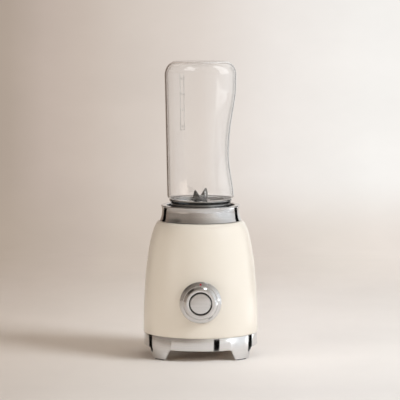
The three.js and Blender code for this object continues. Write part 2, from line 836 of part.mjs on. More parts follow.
function commutator() {
  const top = brushHeight + commutatorHeight / 2;
  const drum = tube(shaftBore, commutatorRadius, top - commutatorHeight, top, midRound);
  const cuts = spaced(commutatorBars).map((bearing) => {
    const slit = new THREE.BoxGeometry(2, 0.8, commutatorHeight * 2.2);
    return solid(slit.translate(commutatorRadius, 0, top).rotateZ(radians(bearing)));
  });
  return cut(drum, ...cuts);
}

// Radial fan on the lower end of the shaft, drawing air up through the bottom cover.
function coolingFan() {
  const top = -bearingTop - 2 * gap - 1;
  const disc = tube(shaftBore, fanRadius, top - fanWall, top, midRound);
  const hub = tube(shaftBore, shaftRadius + 3, top - fanHeight, top, smallRound);
  const blades = spaced(fanBlades).map((bearing) => {
    const inner = fanRadius * 0.42;
    const blade = new THREE.Shape();
    blade.moveTo(inner, 0);
    blade.quadraticCurveTo(fanRadius * 0.75, 1.5, fanRadius - 1, fanRadius * 0.22);
    blade.lineTo(fanRadius - 1.6, fanRadius * 0.22 + fanWall);
    blade.quadraticCurveTo(fanRadius * 0.72, 1.5 + fanWall, inner - 0.4, fanWall);
    const geometry = extruded(blade, top - fanHeight + 1, top - fanWall + bite, 2);
    return solid(geometry.rotateZ(radians(bearing)));
  });
  return join(disc, hub, ...blades);
}

const ballBearing = (side) => {
  const far = side * bearingTop;
  const near = far - side * bearingHeight;
  return tube(shaftBore, bearingRadius, Math.min(near, far), Math.max(near, far), smallRound);
};

// End shield: a vented disc with a bearing pocket, carried by four pillars on the laminations.
function endShield(side, ears) {
  const inner = bearingTop - bearingHeight;
  const span = (from, to) => [Math.min(side * from, side * to), Math.max(side * from, side * to)];
  const discRadius = Math.hypot(pillarX, pillarY) + pillarRadius + 1;
  const plateSpan = span(inner - bracketThickness, inner);
  const disc = tube(bracketBore, discRadius, ...plateSpan, midRound);
  const pocket = tube(bearingRadius + gap, bearingRadius + gap + bracketHub, ...span(inner - bite, bearingTop), smallRound);
  const pillars = [-1, 1].flatMap((x) => [-1, 1].map((y) =>
    rod(pillarRadius, ...span(stackHalf + gap, inner - bite), screwRound)
      .translate([x * pillarX, y * pillarY, 0])));
  const windows = [0, 90, 180, 270].map((bearing) =>
    arcBlock(bearingRadius + bracketHub + bracketWeb, discRadius - bracketRim, bearing, windowSpread,
      ...span(inner - bearingHeight * 2, inner + bearingHeight * 2), 2));
  const lugs = ears ? damperPlaces.flatMap(([x, y], i) => {
    const arm = new THREE.BoxGeometry(damperCircle - discRadius + 3, 2 * damperRadius, bracketThickness);
    arm.translate((damperCircle + discRadius - 3) / 2, 0, side * (inner - bracketThickness / 2));
    return [
      solid(arm.rotateZ(radians(45 + 90 * i))),
      rod(damperRadius, ...plateSpan, screwRound).translate([x, y, 0]),
    ];
  }) : [];
  const holes = ears ? damperPlaces.map(([x, y]) =>
    rod(screwRadius + gap, ...span(inner - bearingHeight * 2, inner + bearingHeight * 2), screwRound).translate([x, y, 0])) : [];
  return cut(join(disc, pocket, ...pillars, ...lugs), ...windows, ...holes);
}

const holderOuter = brushSize + 2 * gap + 2 * holderWall;
const holderInnerEnd = commutatorRadius + 1.6;

// The lower shield also carries a pedestal under each brush holder.
function lowerShield() {
  const top = -bearingTop + bearingHeight;
  const pedestalTop = brushHeight - holderOuter / 2 - gap;
  const pedestals = [-1, 1].map((side) => {
    const height = pedestalTop - top + bite;
    const x = side * (holderInnerEnd + holderLength * 0.55);
    return box(holderLength * 0.6, holderOuter, height, x, 0, pedestalTop - height / 2);
  });
  return join(endShield(-1, false), ...pedestals);
}

function brushHolder(side) {
  const middle = side * (holderInnerEnd + holderLength / 2);
  const body = box(holderLength, holderOuter, holderOuter, middle, 0, brushHeight);
  const channel = brushSize + 2 * gap;
  const hollow = box(holderLength, channel, channel, middle - side * holderWall, 0, brushHeight);
  return cut(body, hollow);
}

const carbonBrush = (side) =>
  box(brushLength, brushSize, brushSize, side * (commutatorRadius + gap + brushLength / 2), 0, brushHeight);

const fanBottom = -bearingTop - 2 * gap - 1 - fanHeight;
const couplingLocal = couplingBottom - motorHeight;

function dogs(outer, first, bottom, top) {
  return spaced(dogCount, first).map((bearing) =>
    arcBlock(dogInner, outer, bearing, dogSpread, bottom, top, 1));
}

function driveCoupling() {
  const top = couplingLocal + couplingHeight;
  const hub = tube(shaftBore, couplingRadius, couplingLocal, top, midRound);
  return join(hub, ...dogs(couplingRadius - 0.8, 0, top - bite, top + dogHeight));
}

place('motor_shaft', rod(shaftRadius, fanBottom - 1, couplingLocal + couplingHeight - 1), 'steel', motor);
place('armature_core', armatureCore(), 'electrical', motor);
place('armature_winding', armatureWinding(), 'copper', motor);
place('commutator', commutator(), 'copper', motor);
place('cooling_fan', coolingFan(), 'grey', motor);
place('drive_coupling', driveCoupling(), 'black', motor);
place('stator_stack', statorStack(), 'electrical', motor);
place('upper_bearing', ballBearing(1), 'steel', motor);
place('lower_bearing', ballBearing(-1), 'steel', motor);
place('upper_shield', endShield(1, true), 'satin', motor);
place('lower_shield', lowerShield(), 'satin', motor);
[[-1, 'left'], [1, 'right']].forEach(([side, label]) => {
  place(`field_coil_${label}`, fieldCoil(side), 'copper', motor);
  place(`brush_holder_${label}`, brushHolder(side), 'brass', motor);
  place(`carbon_brush_${label}`, carbonBrush(side), 'carbon', motor);
});

// Rubber mounts between the motor's ears and the well's bosses, each with a stud at both ends.
damperPlaces.forEach(([x, y], i) => {
  const middle = rod(damperRadius, upperBracketTop + gap, bossBottom - gap);
  const stud = rod(screwRadius, upperBracketTop - bracketThickness - studEnd, bossBottom + screwBite - 2, screwRound);
  place(`motor_damper_${i + 1}`, join(middle, stud), 'rubber').position.set(x, y, 0);
});

// ---------------------------------------------------------------- knob: local +Z points out of the front

const knob = new THREE.Group();
knob.position.z = knobHeight;
knob.rotation.x = Math.PI / 2;
blender.add(knob);

const dialBack = saddleFront + gap;
const dialBevelTop = dialBack + dialEdge + dialBevelRise;
const dialStepTop = dialBevelTop + dialStepRise;
const dialFace = dialStepTop + dialFaceRise;
const wellRim = dialFace - lightDepth;
const buttonBack = dialFace - buttonThickness;
const dialFloor = buttonBack - buttonTravel - gap;
const spindleTop = dialFloor - gap;

// Saddle: flat in front, hollow behind to sit on the shell's curve.
function knobSaddle() {
  const radius = dialRadius - saddleMargin;
  const blank = frontTube(bushingRadius + gap, radius, shellTopRadius, saddleFront, midRound);
  const fitted = cut(blank, shellFilled(gap));
  return solid(geometryOf(fitted).translate(0, 0, -knobHeight).rotateX(-Math.PI / 2));
}

function knobDial() {
  const webTop = dialFloor;
  const webBottom = webTop - dialWeb;
  const hubOuter = spindleRadius + gap + dialHubWall;
  const skirtInner = dialStepRadius - dialWall;
  const body = revolve([
    [skirtInner, dialBack], [dialRadius, dialBack], [dialRadius, dialBack + dialEdge],
    [dialBevelRadius + dialEase, dialBevelTop - dialEase], [dialBevelRadius, dialBevelTop],
    [dialStepRadius, dialBevelTop], [dialStepRadius, dialStepTop],
    [dialStepRadius - dialEase * 1.8, dialStepTop + dialFaceRise / 2],
    [dialFaceRadius + dialEase * 1.2, dialFace - dialEase * 0.6],
    [dialFaceRadius, dialFace], [lightOuter + gap / 2, dialFace], [lightOuter + gap / 2, wellRim],
    [lightInner, wellRim], [lightInner, webTop], [spindleRadius + gap, webTop],
    [spindleRadius + gap, webBottom - dialHubLength], [hubOuter, webBottom - dialHubLength],
    [hubOuter, webBottom], [skirtInner, webBottom],
  ], midRound);
  const pocket = rod(dotRadius + gap / 2, dotSeat, dialFace).translate([0, dotCircle, 0]);
  return cut(body, pocket);
}

const dotCircle = (dialRadius + dialBevelRadius) / 2 - 1;
const dotSeat = dialBevelTop - dotHeight - 0.9;

place('knob_saddle', knobSaddle(), 'satin', knob);
place('knob_dial', knobDial(), 'brushed', knob);
place('index_dot', rod(dotRadius, dotSeat + gap / 2, dialBevelTop - 0.5), 'red', knob)
  .position.y = dotCircle;
place('light_ring', tube(lightInner + gap / 2, lightOuter, wellRim + gap / 2, dialFace - 0.2, midRound), 'black', knob);

const selectorBack = selectorFront - selectorDepth;
const spindleBottom = selectorBack + spindleReach;
const stemBottom = spindleBottom + spindleReach;

function selectorSwitch() {
  const body = prism(roundedRectangle(selectorSize, selectorSize, selectorCorner), selectorBack, selectorFront, 1);
  const bushing = rod(bushingRadius, selectorFront - bite, dialBack + bushingNutHeight);
  const terminals = [-1, 0, 1].map((side) =>
    box(terminalWall, terminalWidth, terminalLength + bite, side * terminalPitch, 0,
      selectorBack - (terminalLength - bite) / 2));
  const bore = rod(spindleRadius + gap, spindleBottom - gap, dialFace);
  return cut(join(body, bushing, ...terminals), bore);
}

function knobSpindle() {
  const pin = rod(spindleRadius, spindleBottom, spindleTop);
  return cut(pin, rod(buttonStemRadius + gap, stemBottom - gap - buttonTravel, dialFace, screwRound));
}

function bushingNut() {
  const hexagon = prism(polygonShape(bushingNutRadius, 6), saddleFront + gap, saddleFront + gap + bushingNutHeight - 0.6);
  return cut(hexagon, rod(bushingRadius + gap / 2, saddleFront - 1, dialFace));
}

function pulseButton() {
  const radius = lightInner - gap;
  const disc = revolve([
    [0, buttonBack], [radius, buttonBack], [radius, dialFace - 0.4],
    [radius - 0.5, dialFace], [0, dialFace + 0.1],
  ], midRound);
  return join(disc, rod(buttonStemRadius, stemBottom, buttonBack + bite, screwRound));
}

place('selector_switch', selectorSwitch(), 'black', knob);
place('bushing_nut', bushingNut(), 'steel', knob);
place('knob_spindle', knobSpindle(), 'steel', knob);
place('pulse_button', pulseButton(), 'brushed', knob);

// ---------------------------------------------------------------- cord gland: local +Z points out of the back

const gland = new THREE.Group();
gland.position.z = glandHeight;
gland.rotation.x = -Math.PI / 2;
blender.add(gland);

// A rubber bush gripping the shell's wall, with a grooved sleeve that lets a cord bend.
function cordGland() {
  const wallInside = Math.sqrt((shellFootRadius - shellWall) ** 2 - glandFlange ** 2) - 2 * gap - 0.4;
  const wallOutside = shellFootRadius + gap;
  const collarEnd = wallOutside + glandFlangeWidth;
  const reach = dialFace;
  const pitch = (reach - collarEnd) / (glandGrooves + 0.5);
  const sleeve = [...Array(glandGrooves).keys()].flatMap((i) => {
    const start = collarEnd + i * pitch;
    const radius = glandHole - gap - ((glandHole - gap - glandTip) * (start - collarEnd)) / (reach - collarEnd);
    return [[radius, start], [radius, start + pitch * 0.6], [radius - 1.3, start + pitch * 0.6], [radius - 1.3, start + pitch]];
  });
  return revolve([
    [glandBore, wallInside - glandFlangeWidth],
    [glandFlange, wallInside - glandFlangeWidth],
    [glandFlange, wallInside],
    [glandHole - gap, wallInside],
    [glandHole - gap, wallOutside],
    [glandFlange - 0.5, wallOutside],
    [glandFlange - 0.5, collarEnd - 0.6],
    [glandFlange - 1.1, collarEnd],
    ...sleeve,
    [glandTip, reach - pitch / 2],
    [glandTip, reach],
    [glandBore, reach],
  ], smallRound);
}

place('cord_gland', cordGland(), 'rubber', gland);

// ---------------------------------------------------------------- blade unit: heights are from its skirt's foot

const unit = subgroup(blender, unitBottom);
const cupRadius = collarRadius - collarWall;
const grooveInner = cupRadius - grooveWidth;
const hubTop = unitHeight - hubDrop;
const plateauEdge = hubTop - hubRise - floorCrown;
const bushOuter = bladeShaftRadius + gap + bushWall;
const grooveBase = grooveFloor - unitBottom;
const drivenBottom = couplingBottom + couplingHeight + dogHeight + dogTipGap - unitBottom;
const drivenTop = drivenBottom + couplingHeight;
const hubFoot = drivenTop + 2 * gap;
const bushBottom = hubFoot;
const bushTop = hubTop - lipSealHeight - gap;

function bladeHolder() {
  const bore = bushOuter + gap;
  const body = revolve([
    [collarRadius - collarWall, 0],
    [collarRadius, 0],
    [collarRadius, unitHeight - flangeThickness - flangeCurve],
    [collarRadius + 0.5, unitHeight - flangeThickness - flangeCurve * 0.4],
    [collarFlange, unitHeight - flangeThickness],
    [collarFlange, unitHeight],
    [cupRadius, unitHeight],
    [cupRadius, grooveBase],
    [grooveInner, grooveBase],
    [grooveInner, plateauEdge - 1],
    [grooveInner - 1.5, plateauEdge],
    [grooveInner * 0.6, plateauEdge + floorCrown * 0.7],
    [hubRadius + 1.2, hubTop - hubRise],
    [hubRadius, hubTop],
    [bore, hubTop],
    [bore, hubFoot],
    [hubRadius, hubFoot],
    [hubRadius, plateauEdge + floorCrown * 0.5 - floorWall],
    [grooveInner - floorWall, plateauEdge - floorWall - 1],
    [grooveInner - floorWall, grooveBase - floorWall],
    [collarRadius - collarWall, grooveBase - floorWall],
  ], bigRound);
  const lugs = lugBearings.map((bearing) =>
    arcBlock(collarRadius - bite, lugReach, bearing, lugSpread, lugBottom - unitBottom, lugTop - unitBottom, 3));
  return join(body, ...lugs);
}

function drivenCoupling() {
  const hub = tube(bladeShaftRadius + gap, couplingRadius - 0.8, drivenBottom, drivenTop, midRound);
  const teeth = dogs(couplingRadius - 0.8, dogOffset, drivenBottom - dogHeight, drivenBottom + bite);
  return join(hub, ...teeth);
}

const lowerBladeBottom = hubTop + spacerHeight + 2 * gap;
const upperBladeBottom = lowerBladeBottom + bladeThickness + gap;
const nutBottom = upperBladeBottom + bladeThickness + gap;

function bladePlate(bottom) {
  const plate = new THREE.Shape();
  const half = bladeWidth / 2;
  plate.moveTo(-wingRoot, -half);
  plate.lineTo(wingRoot, -half);
  plate.lineTo(wingRoot, half);
  plate.lineTo(-wingRoot, half);
  return prism(plate, bottom, bottom + bladeThickness, 2);
}

// One arm of a blade, bent up or down where it leaves the flat middle.
function bladeArm(side, bottom, length, tip, bend) {
  const half = bladeWidth / 2;
  const arm = new THREE.Shape();
  arm.moveTo(-0.4, -half);
  arm.lineTo(length * 0.35, -half);
  arm.quadraticCurveTo(length * 0.8, -half * 0.8, length, -tip / 2);
  arm.quadraticCurveTo(length + tip / 2, 0, length, tip / 2);
  arm.lineTo(length * 0.2, half);
  arm.lineTo(-0.4, half);
  const geometry = extruded(arm, 0, bladeThickness, 4);
  geometry.rotateY(-radians(bend)).translate(wingRoot, 0, bottom);
  if (side < 0) geometry.rotateZ(Math.PI);
  return solid(geometry);
}

function blade(bottom, length, tip, bend) {
  const arms = [-1, 1].map((side) => bladeArm(side, bottom, length, tip, bend));
  return cut(join(bladePlate(bottom), ...arms), rod(bladeShaftRadius + gap, -1, unitHeight * 2));
}

place('blade_holder', bladeHolder(), 'steel', unit);
place('bottle_seal', tube(grooveInner + gap, cupRadius - gap, grooveBase + gap, grooveBase + gap + sealHeight, bigRound),
  'silicone', unit);
place('shaft_bush', tube(bladeShaftRadius + gap, bushOuter, bushBottom, bushTop), 'brass', unit);
place('shaft_seal', tube(bladeShaftRadius + gap, bushOuter, bushTop + gap, hubTop), 'rubber', unit);
place('blade_shaft', rod(bladeShaftRadius, drivenBottom, nutBottom + nutHeight + shaftTip), 'steel', unit);
place('driven_coupling', drivenCoupling(), 'black', unit);
place('blade_spacer', tube(bladeShaftRadius + gap, 6, hubTop + gap, hubTop + gap + spacerHeight), 'steel', unit);
place('lower_blade', blade(lowerBladeBottom, armLength, wingTip * 1.4, -armDrop), 'polished', unit)
  .rotation.z = radians(lowerBladeBearing);
place('upper_blade', blade(upperBladeBottom, wingLength, wingTip, wingLift), 'polished', unit)
  .rotation.z = radians(upperBladeBearing);
place('blade_nut', cut(prism(polygonShape(nutRadius, 6), nutBottom, nutBottom + nutHeight),
  rod(bladeShaftRadius + gap, nutBottom - 1, nutBottom + nutHeight + 1)), 'steel', unit);

// ---------------------------------------------------------------- bottle: heights are from its mouth

const bottleGroup = subgroup(blender, bottleMouth);

// How far the finger grip is pressed in at a height and a bearing.
function gripDepth(height, bearing) {
  const reach = height > gripHeight ? gripRise : gripFall;
  const along = Math.min(Math.abs(height - gripHeight) / reach, 1);
  const around = Math.min(Math.abs(bearing) / radians(gripSpread), 1);
  return gripInset * (1 - along ** 2) ** gripFullness * Math.cos((around * Math.PI) / 2) ** 2;
}

// Outer or inner face of the body, from the shoulder up to the closed end.
function bottleSide(inset) {
  const low = neckLength + shoulderCurve;
  const high = bottleHeight - crownCurveTall;
  const steps = 8;
  const side = [...Array(steps + 1).keys()].map((i) => {
    const share = i / steps;
    return [shoulderRadius + (crownRadius - shoulderRadius) * share - inset, low + (high - low) * share];
  });
  const crownWide = crownCurveWide - inset;
  const crownTall = crownCurveTall - (inset ? bottleBase : 0);
  const crown = [1, 2, 3, 4].map((i) => {
    const turn = (i / 4) * (Math.PI / 2);
    return [crownRadius - crownCurveWide + crownWide * Math.cos(turn), high + crownTall * Math.sin(turn)];
  });
  return [...side, ...crown];
}

function bottleBody() {
  const neckInner = neckRadius - bottleWall;
  const turnIn = shoulderRadius - shoulderCurve;
  const profile = [
    [neckInner, 0],
    [neckRadius, 0],
    [neckRadius, neckLength],
    [turnIn, neckLength],
    [turnIn + shoulderCurve * 0.7, neckLength + shoulderCurve * 0.3],
    ...bottleSide(0),
    [0, bottleHeight],
    [0, bottleHeight - bottleBase],
    ...bottleSide(bottleWall).reverse(),
    [turnIn + shoulderCurve * 0.35, neckLength + bottleWall + shoulderCurve * 0.2],
    [neckInner, neckLength + bottleWall * 0.8],
  ];
  const geometry = revolved(profile, bigRound);
  const position = geometry.getAttribute('position');
  const point = new THREE.Vector3();
  for (let i = 0; i < position.count; i += 1) {
    point.fromBufferAttribute(position, i);
    const radius = Math.hypot(point.x, point.y);
    if (radius > neckRadius) {
      const scale = (radius - gripDepth(point.z, Math.atan2(point.y, point.x))) / radius;
      position.setXY(i, point.x * scale, point.y * scale);
    }
  }
  return solid(geometry);
}

place('bottle', bottleBody(), 'clear', bottleGroup);

export default blender;
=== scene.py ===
"""Looks of a countertop blender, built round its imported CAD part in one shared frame."""

import logging
import math
from dataclasses import dataclass
from enum import Enum

import bmesh
import bpy
from mathutils import Matrix, Vector


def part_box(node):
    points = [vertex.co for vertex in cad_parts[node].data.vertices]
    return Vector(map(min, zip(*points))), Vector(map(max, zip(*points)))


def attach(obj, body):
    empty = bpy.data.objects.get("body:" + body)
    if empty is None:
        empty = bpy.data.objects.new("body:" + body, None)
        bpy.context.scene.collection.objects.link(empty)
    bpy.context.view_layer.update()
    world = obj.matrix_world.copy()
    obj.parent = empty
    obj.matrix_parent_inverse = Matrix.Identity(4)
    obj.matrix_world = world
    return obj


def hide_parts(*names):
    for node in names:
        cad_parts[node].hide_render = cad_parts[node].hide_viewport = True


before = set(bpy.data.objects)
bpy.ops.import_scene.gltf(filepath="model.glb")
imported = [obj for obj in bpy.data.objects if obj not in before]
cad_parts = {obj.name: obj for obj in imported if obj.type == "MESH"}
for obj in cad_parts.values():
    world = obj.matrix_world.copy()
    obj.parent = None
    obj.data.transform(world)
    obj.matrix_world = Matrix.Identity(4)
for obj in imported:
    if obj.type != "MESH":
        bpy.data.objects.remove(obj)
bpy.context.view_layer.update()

logging.basicConfig(level=logging.INFO, format="%(name)s: %(message)s")
LOG = logging.getLogger("blender")

MM = 0.001           # pieces are drawn in millimetres and kept in metres
GAP = 0.3            # clearance between neighbouring pieces, mm
ROUND = 192          # steps of a full turn on large round pieces
FINE = 96            # on middling ones
SMALL = 48           # on small ones
CORNER_STEPS = 4     # steps of an eased corner
FILLET_STEPS = 6     # steps of the fillet between a leg and the band
LEAD_STEPS = 8       # steps of a blade's leading edge
FRONT = Matrix.Rotation(math.pi / 2, 4, "X")      # turns +Z to the front, -Y
BACK = Matrix.Rotation(-math.pi / 2, 4, "X")      # turns +Z to the back, +Y

Drawing = bmesh.types.BMesh
Part = bmesh.types.BMVert | bmesh.types.BMEdge
Pair = tuple[float, float]
Triple = tuple[float, float, float]
Profile = list[tuple[float, ...]]
Stroke = tuple[float, float, float, float]     # left, right, low and high edge
Tones = tuple[tuple[float, str], ...]          # metres from the middle, and the tone there
Tree = bpy.types.NodeTree
Socket = bpy.types.NodeSocket
Settings = dict[str | int, object]
Links = dict[str | int, Socket]


# ---------------------------------------------------------------- measures and drawing


def tint(code: str) -> tuple[float, float, float, float]:
    """Turns an sRGB hex colour into the linear one that nodes take.

    Args:
        code: six hex digits, such as "e6ddcb".

    Returns:
        Red, green, blue and alpha, linear.
    """
    shares = [int(code[i : i + 2], 16) / 255 for i in (0, 2, 4)]
    linear = [s / 12.92 if s <= 0.04045 else ((s + 0.055) / 1.055) ** 2.4 for s in shares]
    return (*linear, 1.0)


def extent(node: str) -> tuple[Vector, Vector]:
    """Lowest and highest corner of a CAD node, in millimetres."""
    low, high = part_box(node)
    return low / MM, high / MM


def levels(node: str) -> Pair:
    """Lowest and highest Z of a CAD node, in millimetres."""
    low, high = extent(node)
    return low.z, high.z


def middle_height(node: str) -> float:
    """Height of a CAD node's middle, in millimetres."""
    low, high = levels(node)
    return (low + high) / 2


def arc(centre: Pair, semi: Pair, start: float, end: float, steps: int) -> Profile:
    """Points along an arc of an ellipse by its half axes, from one angle in degrees to another."""
    turns = [math.radians(start + (end - start) * i / steps) for i in range(steps + 1)]
    return [(centre[0] + semi[0] * math.cos(t), centre[1] + semi[1] * math.sin(t)) for t in turns]


def eased_line(points: Profile, steps: int) -> Profile:
    """A smooth line through some points, by the centripetal spline that the part's source uses.

    Args:
        points: the points that the line passes.
        steps: number of steps along the whole line.

    Returns:
        The points of the line, both ends included.
    """
    knots = [Vector(p) for p in points]
    knots = [2 * knots[0] - knots[1], *knots, 2 * knots[-1] - knots[-2]]
    line = []
    for i in range(steps + 1):
        along = (len(points) - 1) * i / steps
        k = min(int(along), len(points) - 2)
        a, b, c, d = knots[k : k + 4]
        spans = [max((q - p).length, 1e-6) ** 0.5 for p, q in ((a, b), (b, c), (c, d))]
        into = (b - a) / spans[0] - (c - a) / (spans[0] + spans[1]) + (c - b) / spans[1]
        out = (c - b) / spans[1] - (d - b) / (spans[1] + spans[2]) + (d - c) / spans[2]
        t = along - k
        h = (2 * t**3 - 3 * t**2 + 1, t**3 - 2 * t**2 + t, 3 * t**2 - 2 * t**3, t**3 - t**2)
        p = h[0] * b + h[1] * spans[1] * into + h[2] * c + h[3] * spans[1] * out
        line.append((p.x, p.y))
    return line


def bevel(bm: Drawing, parts: list[Part], offset: float, steps: int) -> None:
    """Bevels some corners of an outline, or some edges of a body.

    Args:
        bm: the drawing.
        parts: the corners or the edges.
        offset: how far each is eased, in millimetres.
        steps: steps of the bevel.
    """
    corners = all(isinstance(part, bmesh.types.BMVert) for part in parts)
    bmesh.ops.bevel(
        bm, geom=parts, offset=offset, offset_type="OFFSET", affect="VERTICES" if corners else "EDGES",
        segments=steps, profile=0.5, material=-1, clamp_overlap=not corners,
    )


def drawn(profile: Profile, closed: bool = True, filled: bool = False) -> Drawing:
    """Draws a profile in the XZ plane and eases the corners that ask for it.

    Args:
        profile: (radius, height) or (radius, height, easing) of each corner.
        closed: whether the last corner joins the first.
        filled: whether the outline gets a face.

    Returns:
        The drawing.
    """
    bm = bmesh.new()
    corners = [bm.verts.new((p[0], 0.0, p[1])) for p in profile]
    if filled:
        bm.faces.new(corners)
    else:
        for pair in zip(corners, corners[1:]):
            bm.edges.new(pair)
        if closed:
            bm.edges.new((corners[-1], corners[0]))
    for corner, point in zip(corners, profile):
        if len(point) > 2:
            bevel(bm, [corner], point[2], CORNER_STEPS)
    return bm


def turned(profile: Profile, steps: int = FINE, closed: bool = True) -> Drawing:
    """A body turned about Z.

    Args:
        profile: (radius, height[, easing]) of each corner; an open one starts and ends on the axis.
        steps: steps of the full turn.
        closed: whether the profile is a ring's section.

    Returns:
        The closed body, its faces outward.
    """
    bm = drawn(profile, closed)
    bmesh.ops.spin(
        bm, geom=bm.verts[:] + bm.edges[:], cent=(0, 0, 0), axis=(0, 0, 1), angle=math.tau,
        steps=steps, use_merge=True, use_duplicate=False,
    )
    return sound(bm)


def sector(profile: Profile, bearing: float, spread: float, steps: int = 8) -> Drawing:
    """A body turned through part of a turn, with flat ends.

    Args:
        profile: (radius, height[, easing]) of each corner.
        bearing: middle of the part, in degrees from +X.
        spread: how far it reaches in all, in degrees.
        steps: steps along it.

    Returns:
        The closed body.
    """
    bm = drawn(profile, filled=True)
    bmesh.ops.rotate(bm, verts=bm.verts, matrix=Matrix.Rotation(math.radians(bearing - spread / 2), 3, "Z"))
    bmesh.ops.spin(
        bm, geom=bm.verts[:] + bm.edges[:] + bm.faces[:], cent=(0, 0, 0), axis=(0, 0, 1),
        angle=math.radians(spread), steps=steps, use_merge=False, use_duplicate=False,
    )
    return sound(bm)


def corners_of(geometry: list[object]) -> list[bmesh.types.BMVert]:
    """The corners among what an operator made."""
    return [part for part in geometry if isinstance(part, bmesh.types.BMVert)]


def slab(points: Profile, bottom: float, top: float) -> Drawing:
    """An upright prism on an outline in the XY plane.

    Args:
        points: corners of the outline.
        bottom: height of its foot.
        top: height of its head.

    Returns:
        The closed body.
    """
    bm = bmesh.new()
    bm.faces.new([bm.verts.new((x, y, bottom)) for x, y in points])
    grown = bmesh.ops.extrude_face_region(bm, geom=bm.faces[:])["geom"]
    bmesh.ops.translate(bm, verts=corners_of(grown), vec=(0, 0, top - bottom))
    return sound(bm)


def rod(radius: float, bottom: float, top: float, ease: float = 0.2, steps: int = SMALL) -> Drawing:
    """A round rod on Z with eased ends."""
    return turned([(0, bottom), (radius, bottom, ease), (radius, top, ease), (0, top)], steps, closed=False)


def hexagon(radius: float, bottom: float, top: float) -> Drawing:
    """A six-sided prism on Z."""
    return slab(arc((0, 0), (radius, radius), 0, 300, 5), bottom, top)


def sound(bm: Drawing) -> Drawing:
    """Closes seams and poles, and turns the faces outward."""
    bmesh.ops.remove_doubles(bm, verts=bm.verts, dist=1e-4)
    bmesh.ops.recalc_face_normals(bm, faces=bm.faces)
    return bm


def moved(bm: Drawing, matrix: Matrix) -> Drawing:
    """Moves a drawing by a matrix in millimetres."""
    bmesh.ops.transform(bm, matrix=matrix, verts=bm.verts)
    return bm


def lifted(bm: Drawing, x: float = 0, y: float = 0, z: float = 0) -> Drawing:
    """Shifts a drawing, in millimetres."""
    return moved(bm, Matrix.Translation((x, y, z)))


def swung(bm: Drawing, degrees: float) -> Drawing:
    """Turns a drawing about Z."""
    return moved(bm, Matrix.Rotation(math.radians(degrees), 4, "Z"))


def together(*parts: Drawing) -> Drawing:
    """Puts several bodies into one drawing, each still its own shell.

    Args:
        parts: the bodies, which are used up.

    Returns:
        The first drawing, with the others in it.
    """
    whole = parts[0]
    for part in parts[1:]:
        mesh = bpy.data.meshes.new("part")
        part.to_mesh(mesh)
        whole.from_mesh(mesh)
        bpy.data.meshes.remove(mesh)
        part.free()
    return whole


def ease_edges(bm: Drawing, offset: float, over: float = 40, segments: int = 2) -> None:
    """Bevels every edge sharper than an angle.

    Args:
        bm: the body.
        offset: how far each edge is eased, in millimetres.
        over: the least angle between two faces, in degrees.
        segments: steps of the bevel.
    """
    sharp = [e for e in bm.edges if len(e.link_faces) == 2 and e.calc_face_angle(0) > math.radians(over)]
    if sharp:
        bevel(bm, sharp, offset, segments)


class Fusion(Enum):
    """How two bodies become one."""

    JOIN = "UNION"
    CUT = "DIFFERENCE"
    SHARE = "INTERSECT"


def fused(base: Drawing, tool: Drawing, fusion: Fusion) -> Drawing:
    """Joins two bodies, cuts one from the other, or keeps what they share.

    Args:
        base: the body that is kept.
        tool: the body that works on it.
        fusion: what is done.

    Returns:
        The resulting body.
    """
    holders = []
    for bm in (base, tool):
        mesh = bpy.data.meshes.new("fusing")
        bm.to_mesh(mesh)
        bm.free()
        holders.append(bpy.data.objects.new("fusing", mesh))
        bpy.context.scene.collection.objects.link(holders[-1])
    modifier = holders[0].modifiers.new("fusing", "BOOLEAN")
    modifier.operation = fusion.value
    modifier.solver = "EXACT"
    modifier.object = holders[1]
    evaluated = holders[0].evaluated_get(bpy.context.evaluated_depsgraph_get())
    result = bmesh.new()
    result.from_mesh(evaluated.to_mesh())
    for holder in holders:
        mesh = holder.data
        bpy.data.objects.remove(holder)
        bpy.data.meshes.remove(mesh)
    return result


# ---------------------------------------------------------------- nodes and finishes


def add(
    tree: Tree, kind: str, settings: Settings | None = None, links: Links | None = None
) -> bpy.types.Node:
    """Adds a node with its settings and links.

    Args:
        tree: the tree that it goes into.
        kind: its Blender type.
        settings: its properties by name, and its input values by name or number.
        links: the outputs that feed its inputs, by name or number.

    Returns:
        The node.
    """
    node = tree.nodes.new(kind)
    for key, value in (settings or {}).items():
        if isinstance(key, str) and hasattr(node, key):
            setattr(node, key, value)
        else:
            node.inputs[key].default_value = value
    for key, source in (links or {}).items():
        tree.links.new(source, node.inputs[key])
    return node


def cells(tree: Tree, stretch: Triple, detail: float = 3) -> Socket:
    """A random pattern on Object coordinates, about 0.5 on average.

    Args:
        tree: the tree that it goes into.
        stretch: cells per metre along X, Y and Z.
        detail: octaves.

    Returns:
        Its value.
    """
    place = add(tree, "ShaderNodeTexCoord").outputs["Object"]
    squeezed = add(tree, "ShaderNodeMapping", {"Scale": stretch}, {"Vector": place}).outputs[0]
    settings = {"Scale": 1.0, "Detail": detail, "Roughness": 0.6}
    return add(tree, "ShaderNodeTexNoise", settings, {"Vector": squeezed}).outputs["Fac"]


